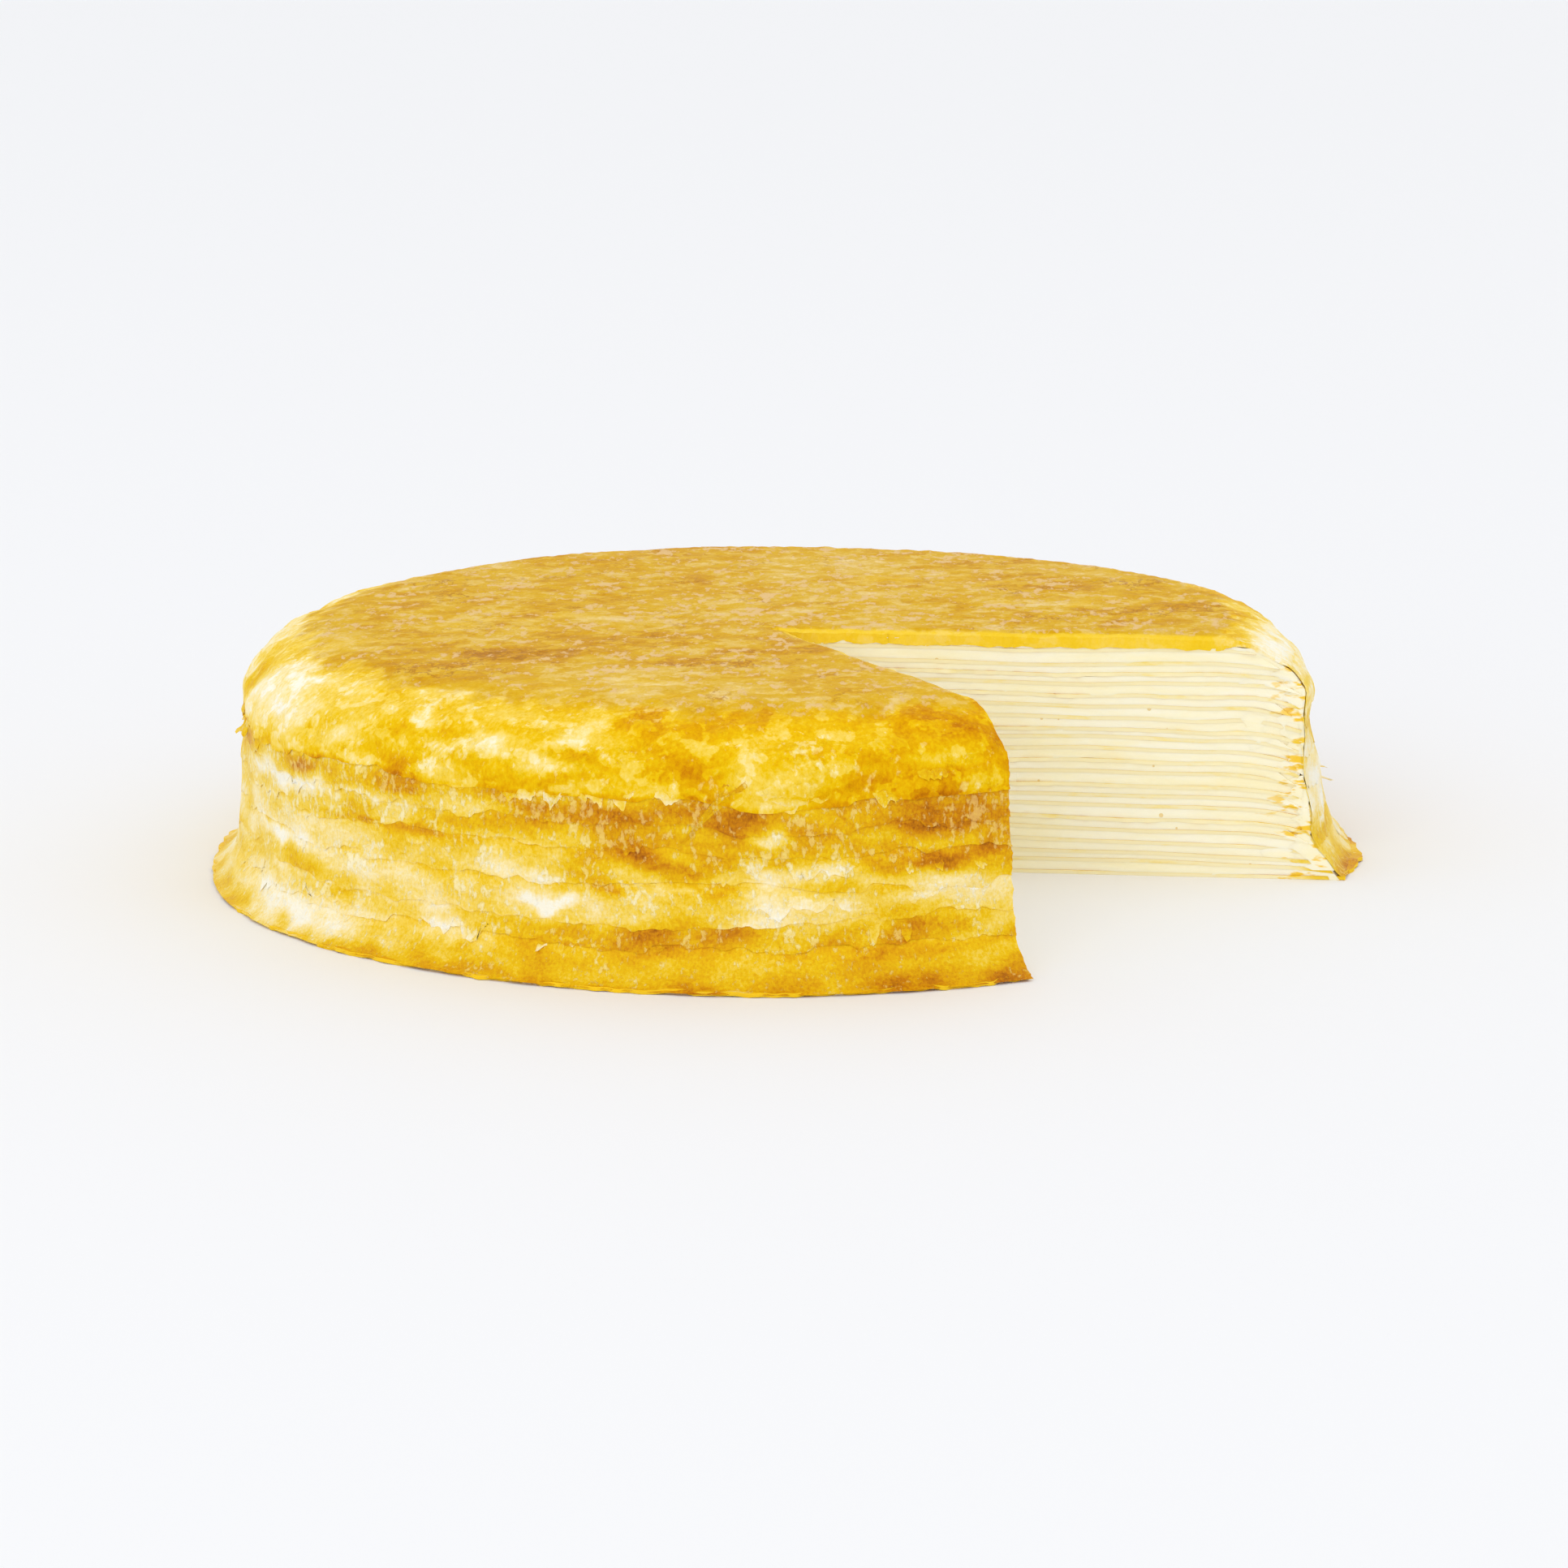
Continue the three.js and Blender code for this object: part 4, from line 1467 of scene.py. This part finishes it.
# %% [markdown]
# ## The top's relief and its lip
#
# The small grain covers the whole top crepe and the lumps belong to its drape. Both are pushed
# along the points' normals, so the sheet swells instead of being shifted. Beside the cuts the
# flat top is drawn down, more steeply the nearer the knife went.

# %% Relief and lip of the top crepe
def point_normals(piece):
    flat = np.empty(len(piece.data.vertices) * 3)
    piece.data.vertices.foreach_get("normal", flat)
    return flat.reshape(-1, 3)


def lip_near_cuts(points):
    """One on the cuts, and falling to nothing a short way into the cake."""
    lip = np.zeros(len(points))
    for cut in CUTS:
        away = past_cut(points, cut)
        beside = np.clip(1 + away / LIP_REACH, 0, 1) ** 2
        lip = np.maximum(lip, beside * (along_cut(points, cut) > -1) * (away < 0.1))
    return lip


share = painted_on(top, "hem_share")
points = points_of(top)
grain = grain_relief(points) * (1 - smooth_step(share, *DRAPE_START))
relief = grain + drape_relief(points, drape_share(share))
lip = lip_near_cuts(points)
draw_down = LIP_DROP * lip * (1 - smooth_step(share, 0, 0.2))
points += point_normals(top) * (relief - draw_down)[:, None]
move_points(top, points)
print("highest relief", round(float(relief.max()), 2), "mm")

# %% [markdown]
# ## Painting the top crepe
#
# The tan of the flat top ends in an uneven line at the shoulder, and earlier on the right. A few
# scorched, golden and pale spots lie where the pan was hotter or cooler. Beside the cuts the lip is
# smooth and golden. Everything is painted as shares between 0 and 1, which the material reads.

# %% Paint of the top crepe
TAN_END = (0.12, 0.34)
EARLY_TAN_END = 0.26
EARLY_TAN_PLACE = -0.2
EARLY_TAN_REACH = 0.5
LIP_BROWNING = 0.41

early = np.exp(-(((polar(points)[1] - EARLY_TAN_PLACE) / EARLY_TAN_REACH) ** 2))
tan_end = share + EARLY_TAN_END * early * smooth_step(share, 0, 0.08)
tan_end += 0.05 * lumps(points, 9, 75) + 0.03 * lumps(points, 4, 79)
tan_share = 1 - smooth_step(tan_end, *TAN_END)
tan_share = tan_share * (1 - 0.95 * smooth_step(lip, 0.15, 0.7))
top_browning = 0.5 + 0.05 * lumps(points, 60, 76) + 0.05 * lumps(points, 24, 77)
top_browning += 0.04 * lumps(points, 9, 80)
drape_browning = side_browning(22, points, smooth_step(share, 0.9, 1.0))
# Each spot is a place on the top, half its size both ways in millimetres, and its strength.
SCORCHES = (
    (-76, -58, 16, 9, 1.0), (-59, -46, 16, 9, 0.9), (-66, -66, 12, 6, 0.7), (-25, -56, 14, 5, 0.6),
    (6, -113, 9, 2.5, 0.9), (80, 36, 14, 12, 0.5), (88, 2, 16, 8, 0.5), (-40, 60, 30, 12, 0.25),
)
GOLDEN_SPOTS = ((-55, -9, 20, 12), (-91, -31, 12, 10), (-28, -85, 22, 12), (30, 40, 20, 10), (60, 8, 18, 6))
PALE_SPOTS = ((-8, -3, 26, 12), (-30, -46, 14, 8), (10, 22, 26, 10), (50, 22, 14, 6))


def spots(points, places):
    """How near points are to chosen places on the top, from 0 to 1."""
    total = np.zeros(len(points))
    for x, y, half_x, half_y, *strength in places:
        away = ((points[:, 0] - x) / half_x) ** 2 + ((points[:, 1] - y) / half_y) ** 2
        total = np.maximum(total, np.exp(-away) * (strength[0] if strength else 1.0))
    return total


scorch = spots(points, SCORCHES) * tan_share
broken_up = smooth_step(lumps(points, 12, 81), -0.6, 0.8)
tan_share = tan_share * (1 - 0.45 * spots(points, GOLDEN_SPOTS) * broken_up)
top_browning += 0.03 + 0.26 * scorch - 0.07 * spots(points, PALE_SPOTS)
paint(top, "tan", tan_share)
paint(top, "scorch", scorch)
on_lip = 1 - smooth_step(share, 0.03, 0.22)
paint(top, "lip", 0.75 * smooth_step(lip, 0.1, 0.6) * on_lip)
lip_browning = LIP_BROWNING + 0.05 * lumps(points, 6, 84)
drape_browning += (lip_browning - drape_browning) * smooth_step(lip, 0.1, 0.5) * on_lip
paint(top, "browning", tan_share * top_browning + (1 - tan_share) * drape_browning)
top_lace = 0.66 - 0.3 * scorch + 0.2 * lumps(points, 16, 82) + 0.15 * lumps(points, 7, 83)
top_lace += 0.2 * spots(points, PALE_SPOTS)
drape_lace = side_lace(22, points) * (1 - 0.8 * smooth_step(lip, 0.1, 0.5) * on_lip)
paint(top, "lace", tan_share * top_lace + (1 - tan_share) * drape_lace)
print("tan covers", round(float(tan_share.mean()), 2), "of the top's points")

# %% [markdown]
# ## The top's wall
#
# The top crepe is thicker than the others and thins towards its hem. The knife has pressed its
# edge into a lip that reaches further down. The wall's own edges get the top's material too, since
# the lip is as golden there, and they are set upright, because the cut is.

# %% Wall of the top crepe
WALL_UNEVEN = 0.08
MOST_WALL = LIP_THICKNESS * 1.3

thickness = TOP_CREPE_THICKNESS * top_line.wall(share) * (1 + WALL_UNEVEN * lumps(points, 6, 79))
lip_share = smooth_step(lip, 0.1, 0.9) * (1 - smooth_step(share, 0, 0.3))
lip_depth = LIP_THICKNESS - TOP_CREPE_THICKNESS - 0.2
lip_depth = lip_depth + 0.2 * lumps(points, 5, 85) + 0.12 * lumps(points, 2, 86)
thickness = thickness + lip_depth * lip_share
dress(top, top_skin, top_skin)
add_wall(top, MOST_WALL, thickness / MOST_WALL)
square_cuts(top)
wobble_cuts(top, 0.2, 4, 90)
finish_piece(top, "crepe_22")
print("top crepe has", len(top.data.polygons), "faces")

# %% [markdown]
# ## The cream under the top crepe
#
# The shoulder is rounder than the stack beneath it, and cream fills the difference. The knife
# shows it as a white strip behind the drape. It is a sheet just inside the top crepe, with a wall
# that is thickest in the shoulder.

# %% Shoulder cream
SHOULDER_FILL = 5.4
CREAM_END = 1.6
SHOULDER_TOP = 49
# How thick the cream is at chosen heights, in millimetres.
LOW_FILL = ((36, 0.7), (40, 1.5), (46, 3.2), (SHOULDER_TOP, SHOULDER_FILL))
FILL_STEP = 12

slopes = np.gradient(top_line.line, axis=0)
slopes /= np.hypot(slopes[:, 0], slopes[:, 1])[:, None]
line_share = top_line.share_of(top_line.run)
inwards = TOP_CREPE_THICKNESS * top_line.wall(line_share) * 0.96 + 0.14 * smooth_step(line_share, 0, 0.15)
inwards = inwards + 0.16 * smooth_step(line_share, 0.4, 0.75)
inner = top_line.line + np.column_stack([slopes[:, 1], -slopes[:, 0]]) * inwards[:, None]
kept = top_line.run < top_line.hem_length - CREAM_END
inner = inner[kept][::FILL_STEP]
inner_share = line_share[kept][::FILL_STEP]
cream_piece = turned_sheet("spread_cream_21", inner, HIDDEN_SEGMENTS * 2)
cream_rows = rows_of(points_of(cream_piece), inner)
cream_share = inner_share[cream_rows]
move_points(cream_piece, settle(points_of(cream_piece)))
points = points_of(cream_piece)
followed = drape_relief(points, drape_share(cream_share))
move_points(cream_piece, points + point_normals(cream_piece) * followed[:, None])
take_slice_out(cream_piece, recess=CREAM_RECESS)
dress(cream_piece, pastry_cream)
points = points_of(cream_piece)
flat_gap = LEVELS[22] - LEVELS[21] - CREPE_THICKNESS + CREAM_OVERLAP
thick = np.interp(polar(points)[0], [BEND_RADIUS, 104], [flat_gap, SHOULDER_FILL])
low_thick = np.interp(points[:, 2], *zip(*LOW_FILL))
thick = np.where(points[:, 2] < SHOULDER_TOP, low_thick, thick)
add_wall(cream_piece, SHOULDER_FILL, thick / SHOULDER_FILL)
wobble_cuts(cream_piece)
finish_piece(cream_piece, "cream_21")
print("shoulder cream made")

# %% [markdown]
# ## Cream pressed out at the rims
#
# Between the ends of the flat layers and the crepes that hang down outside them, cream has been
# pressed out and fills the corners. It is made as two rings with a closed section, which follow
# the hanging crepes' inner faces. The inner one is cut a little further back than the layers. The
# outer one stands a tenth of a millimetre proud at the cuts, where the knife smeared it over the
# layers' ends, and its inner edge is uneven. The two holes that the cuts leave are filled.

# %% Pressed cream
# Each ring reaches from one depth under the hanging crepes to another, and has its own recess.
PRESSED_RINGS = (
    ("pressed_cream_outer", 0.0, 3.2, -0.1),
    ("pressed_cream_inner", 1.0, 11.0, 0.14),
)
PRESSED_GAP = 0.04
PRESSED_GAP_UNDER_DRAPE = 0.3
SMEAR_ROWS = (0.3, 0.8)
# How far the smear ends inside the side, at chosen heights.
SMEAR_SHORT_OF_SIDE = ((0, 0.5), (38, 0.45), (42, 0.8), (46, 1.5), (50, 2.2))
PRESSED_HEIGHTS = np.arange(2.2, 48.9, 0.75)

pressed_line = []
pressed_shares = []
for height in PRESSED_HEIGHTS:
    cover = min(n for n in SECTIONS if n > 1 and turn_height(n) > height)
    under_drape = height > TOP_HEM + 1
    gap = PRESSED_GAP_UNDER_DRAPE if under_drape else PRESSED_GAP
    pressed_line.append((SECTIONS[cover].inner_radius(height) - gap, height))
    fallen = float(top_line.share_of(top_line.length_at_height(height)))
    pressed_shares.append(fallen if under_drape else 0.0)


def pressed_ring(name, nearest, deepest, recess):
    """A closed ring of cream between two depths, with its cut ends filled."""
    heights = np.array([(0, 0, height) for _, height in pressed_line])
    uneven = 1.1 * lumps(heights, 5, 87) + 0.7 * lumps(heights, 1.8, 88)
    outer_line = [(radius - nearest, height) for radius, height in pressed_line]
    inner_line = [
        (radius - deepest + back, height) for (radius, height), back in zip(pressed_line, uneven)
    ]
    section = [*outer_line, *reversed(inner_line), outer_line[0]]
    ring = turned_sheet(name, section, HIDDEN_SEGMENTS * 2)
    points = points_of(ring)
    radius = polar(points)[0]
    outer_radius = np.interp(points[:, 2], PRESSED_HEIGHTS, [radius for radius, _ in outer_line])
    short = np.interp(points[:, 2], *zip(*SMEAR_SHORT_OF_SIDE))
    room = np.maximum(side_radius(points[:, 2]) - short - radius, 0) * (radius > outer_radius - 0.5)
    paint(ring, "room", room * (recess < 0))
    share = np.interp(points[:, 2], PRESSED_HEIGHTS, pressed_shares)
    placed = settle(points)
    push_out(placed, drape_relief(placed, drape_share(share)))
    move_points(ring, placed)
    take_slice_out(ring, recess=recess, edge_rows=SMEAR_ROWS)
    points = points_of(ring)
    beside = np.zeros(len(points))
    for cut in CUTS:
        near_cut = 1 - smooth_step(-past_cut(points, cut), 0.1, SMEAR_ROWS[-1])
        beside = np.maximum(beside, near_cut * (along_cut(points, cut) > 0))
    push_out(points, beside * painted_on(ring, "room"))
    move_points(ring, points)
    select_only(ring)
    bpy.ops.object.mode_set(mode="EDIT")
    bpy.ops.mesh.select_all(action="SELECT")
    bpy.ops.mesh.fill_holes(sides=0)
    bpy.ops.mesh.normals_make_consistent(inside=False)
    bpy.ops.object.mode_set(mode="OBJECT")
    dress(ring, pastry_cream)
    wobble_cuts(ring)
    finish_piece(ring, None)


for ring_name, nearest, deepest, recess in PRESSED_RINGS:
    pressed_ring(ring_name, nearest, deepest, recess)
print("pressed cream made")

# %% [markdown]
# ## Scraps and frills
#
# A crepe is thin enough to tear, and its torn bits stick to the side: flaps with a ragged lower
# edge, narrow tags that hang from a hem, curled frills, a few loose threads. One grid of faces is
# the pattern for all of them. Each scrap is a copy of it, laid on whichever crepe shows there,
# tucked in at its upper edge and its sides, and standing off a little at the lower edge.

# %% One scrap
SCRAP_ACROSS = 20
SCRAP_DOWN = 6
SCRAP_THICKNESS = 0.1
SCRAP_TUCK = 0.35
SCRAP_LIFT = 0.03
SCRAP_RAGGED = 0.22
LOWEST_SCRAP = 0.3

bpy.ops.object.select_all(action="DESELECT")
bpy.ops.mesh.primitive_grid_add(x_subdivisions=SCRAP_ACROSS, y_subdivisions=SCRAP_DOWN, size=1)
scrap_pattern = bpy.context.object
grid_points = points_of(scrap_pattern) * MM
scrap_across = grid_points[:, 0]
scrap_down = 0.5 - grid_points[:, 1]


def band_at(height):
    """The crepe that shows at a height of the side."""
    hanging = (n for n in SECTIONS if SECTIONS[n].at(SECTIONS[n].hem_length)[1] <= height)
    return max(hanging, default=HANGING_CREPES[0])


def shown_radius(height):
    """The radius of the crepe that shows at a height of the side."""
    section = SECTIONS[band_at(height)]
    return float(section.at(section.length_at_height(height))[0])


SHOWN_HEIGHTS = np.arange(BASE_HEM + 0.1, 48, HEIGHT_STEP)
SHOWN_RADII = [shown_radius(height) for height in SHOWN_HEIGHTS]


def surface_of_side(angle, height, stand):
    """Points on the side at angles and heights, standing off it."""
    height = np.maximum(height, LOWEST_SCRAP)
    radius = np.interp(height, SHOWN_HEIGHTS, SHOWN_RADII) + SCRAP_LIFT + stand
    placed = settle(at_angle(radius, angle, height))
    follow_drape(placed, np.ones(len(placed)))
    return placed


def lay_scrap(place, size, stand, seed, number, paler, slant, taper):
    """A copy of the pattern laid on the side. Place is an angle in degrees and the upper height."""
    draw = np.random.default_rng(seed)
    shift = draw.uniform(0, 500)
    spread = (scrap_across * size[0] + shift, scrap_down * 3, np.zeros(len(scrap_across)))
    side_way = np.column_stack(spread)
    row = side_way * (1, 0, 0)
    edge = 0.8 + SCRAP_RAGGED * (0.5 * lumps(row, 1.4, seed) + 0.6 * lumps(row, 4, seed + 1))
    tongue = (1 - np.abs(2 * scrap_across) ** 3) ** 0.6
    fall = scrap_down * size[1] * np.maximum(edge * tongue, 0.1)
    narrow = 1 - taper * scrap_down + 0.12 * lumps(side_way, 3, seed + 2) * scrap_down
    across = scrap_across * size[0] * narrow + slant * fall
    angle = math.radians(place[0]) + across / BODY_RADIUS
    rise = 0.4 * lumps(side_way, 4, seed + 3) * size[1] * 0.3
    curl = stand * (fall / size[1]) ** 1.5 * (0.6 + 0.3 * lumps(side_way, 3.5, seed + 4))
    tucked = SCRAP_TUCK * np.maximum((1 - scrap_down) ** 4, np.abs(2 * scrap_across) ** 6)
    placed = surface_of_side(angle, place[1] - fall + rise, np.maximum(curl, 0) - tucked)
    piece = scrap_pattern.copy()
    piece.data = scrap_pattern.data.copy()
    bpy.context.scene.collection.objects.link(piece)
    move_points(piece, placed)
    browning = side_browning(number, placed, np.zeros(len(placed))) - paler * scrap_down ** 1.2
    paint(piece, "browning", np.clip(browning, 0.02, 0.9))
    paint(piece, "lace", np.clip(side_lace(number, placed) + draw.uniform(-0.3, 0.3), 0, 1))
    return piece


print("one scrap has", len(scrap_pattern.data.polygons), "faces")

# %% [markdown]
# ## The chosen and the random scraps
#
# The scraps that catch the eye have a place and a size of their own. Many small ones and narrow
# tags are then strewn near the hems, where crepes tear. The random numbers are seeded, so the cake
# comes out the same each time. All scraps are joined into one piece and get one thin wall.

# %% Scraps at chosen places and at random
# Each is: angle, upper height, width, height, how far it stands off, paler by, slant, taper.
CHOSEN_SCRAPS = (
    (-115, 37.6, 6.0, 3.8, 0.3, 0.34, 0.2, 0.1), (-111.8, 37.4, 5.2, 4.2, 0.35, 0.38, -0.3, 0.2),
    (-108.5, 37.5, 6.0, 3.8, 0.3, 0.36, 0.2, 0.1), (-105, 37.2, 5.4, 3.8, 0.3, 0.36, 0.2, 0.1),
    (-101, 37.0, 6.4, 3.4, 0.3, 0.32, 0.1, 0.2), (-88, 37.4, 15, 3.0, 0.25, 0.16, 0.0, 0.0),
    (-80, 37.6, 7, 3.4, 0.3, 0.2, 0.0, 0.1), (-75.5, 41.0, 8, 2.4, 0.3, 0.18, 0.6, 0.1),
    (-93.6, 40.8, 4.4, 11.5, 0.4, 0.2, -1.0, 0.2),
    (-86.5, 25.6, 17, 5.6, 0.3, 0.16, 0.15, 0.1), (-92.5, 25.4, 6, 3.0, 0.2, 0.1, -0.2, 0.0),
    (-88, 18.6, 22, 5.2, 0.25, 0.1, 0.0, 0.0), (-76, 18.8, 9, 3.6, 0.2, 0.06, 0.0, 0.0),
    (-78, 24.2, 2.6, 3.2, 0.25, 0.3, 0.3, 0.1), (-75, 23.8, 2.2, 3.0, 0.3, 0.3, 0.3, 0.1),
    (-71, 24.0, 3.0, 3.4, 0.3, 0.26, 0.5, 0.1), (-112.8, 7.2, 2.8, 2.6, 0.6, 0.5, -0.6, 0.2),
    (-110.4, 9.4, 7, 3.0, 0.25, 0.24, 0.1, 0.2), (-81.2, 12.0, 3.4, 4.6, 0.25, 0.24, 0.0, 0.2),
    (-78.2, 12.2, 3.0, 4.0, 0.25, 0.22, 0.0, 0.2), (-139, 12.2, 22, 6.0, 0.25, 0.08, 0.0, 0.0),
    (-152, 11.4, 14, 5.6, 0.25, 0.06, 0.1, 0.0), (-123, 10.4, 20, 4.0, 0.2, 0.06, 0.0, 0.0),
    (-146, 31.4, 16, 3.4, 0.25, 0.16, 0.0, 0.0), (-156, 36.6, 8, 4.4, 0.3, 0.1, -0.3, 0.2),
    # The two flaps low beside the far cut are paler partly in colour and partly as a painted highlight
    # against the shade they stand in.
    (-158, 27.6, 6, 4.4, 0.3, 0.1, -0.3, 0.2), (-1.5, 8.4, 9, 7.8, 1.1, 0.3, 0.1, -0.2),
    (0.5, 7.0, 9, 6.6, 2.4, 0.25, 0.1, -0.2), (-171, 35.4, 8, 4.4, 3.4, 0.2, 0.0, 0.1),
    (-177, 34.8, 7, 3.8, 2.8, 0.2, 0.1, 0.1), (-165, 35.4, 7, 3.6, 1.6, 0.2, 0.0, 0.1),
    (-1.5, 17.6, 0.5, 1.6, 5.6, 0.2, 0.4, 0.5), (-1.0, 18.4, 0.5, 0.7, 5.0, 0.2, 0.1, 0.5),
    (-2.0, 16.0, 0.5, 2.2, 4.8, 0.2, 0.2, 0.5),
)
RANDOM_SCRAPS = 80
RANDOM_TAGS = 60
# The arc, in degrees, where the cake still has its side, from the far cut round to the near one.
FREE_ARC = (math.degrees(FAR_CUT) + 2, math.degrees(NEAR_CUT) + 354)
SEED_STEP = 7

pieces = []
for index, (turn, top_height, wide, tall, stand, *look) in enumerate(CHOSEN_SCRAPS):
    number = band_at(top_height - tall / 2)
    seed = 3000 + SEED_STEP * index
    pieces.append(lay_scrap((turn, top_height), (wide, tall), stand, seed, number, *look))
draw = np.random.default_rng(41)
hem_heights = [float(SECTIONS[n].at(SECTIONS[n].hem_length)[1]) for n in sorted(SECTIONS)][1:]


for index in range(RANDOM_SCRAPS + RANDOM_TAGS):
    if index < RANDOM_SCRAPS:
        size = (draw.uniform(2.0, 9.0), draw.uniform(1.2, 3.2))
        height = draw.choice(hem_heights) + draw.normal(0.8, 1.2)
        stand, taper, paler = draw.uniform(0.05, 0.18), draw.uniform(0, 0.3), draw.uniform(-0.05, 0.14)
    else:
        size = (draw.uniform(1.2, 2.6), draw.uniform(1.0, 2.4))
        height = draw.choice(hem_heights) + draw.normal(1.2, 1.0)
        stand, taper, paler = draw.uniform(0.05, 0.2), draw.uniform(0.1, 0.3), draw.uniform(0.0, 0.18)
    height = float(np.clip(height, 3.0, 44.0))
    slant = draw.normal(0, 0.25)
    place = (draw.uniform(*FREE_ARC), height)
    seed = 5000 + SEED_STEP * index
    pieces.append(lay_scrap(place, size, stand, seed, band_at(height - 1), paler, slant, taper))

bpy.ops.object.select_all(action="DESELECT")
for piece in pieces:
    piece.select_set(True)
bpy.context.view_layer.objects.active = pieces[0]
bpy.ops.object.join()
scraps = bpy.context.object
scraps.name = "scraps"
dress(scraps, side_skin)
add_wall(scraps, SCRAP_THICKNESS)
finish_piece(scraps, None)
bpy.data.objects.remove(scrap_pattern)
print(len(pieces), "scraps,", len(scraps.data.polygons), "faces")

# %% [markdown]
# ## Floor, light and background
#
# The floor is a plain pale sheet, so large that it reaches past the picture. A white sky lights
# everything evenly, and one wide lamp from the upper left gives soft shape to the side.

# %% Stage
FLOOR_SIZE = 30.0
bpy.ops.object.select_all(action="DESELECT")
bpy.ops.mesh.primitive_grid_add(x_subdivisions=4, y_subdivisions=4, size=FLOOR_SIZE)
floor = bpy.context.object
floor.name = "floor"
floor_paint, tree, shader = new_material("floor_paint")
shader.inputs["Base Color"].default_value = (0.9, 0.9, 0.905, 1.0)
shader.inputs["Roughness"].default_value = 0.8
shader.inputs["Specular IOR Level"].default_value = SPECULAR_LEVEL
dress(floor, floor_paint)

world = bpy.data.worlds.new("white_sky")
world.use_nodes = True
bpy.context.scene.world = world
sky = world.node_tree.nodes["Background"]
sky.inputs["Color"].default_value = (0.97, 0.98, 1.0, 1.0)
sky.inputs["Strength"].default_value = 1.02


LAMP_PLACE = (-0.9, -2.6, 1.2)
LAMP_SIZE = 1.6
LAMP_POWER = 11.0

lamp_data = bpy.data.lights.new("key_light", "AREA")
lamp_data.shape = "SQUARE"
lamp_data.size = LAMP_SIZE
lamp_data.energy = LAMP_POWER
lamp = bpy.data.objects.new("key_light", lamp_data)
lamp.location = LAMP_PLACE
# The lamp faces the cake, which stands at the origin.
to_x, to_y, to_z = (-value for value in LAMP_PLACE)
lean = math.atan2(math.hypot(to_x, to_y), -to_z)
lamp.rotation_euler = (lean, 0, math.atan2(to_y, to_x) - math.pi / 2)
bpy.context.scene.collection.objects.link(lamp)
bpy.context.scene.view_settings.view_transform = "Standard"
bpy.context.scene.view_settings.look = "None"
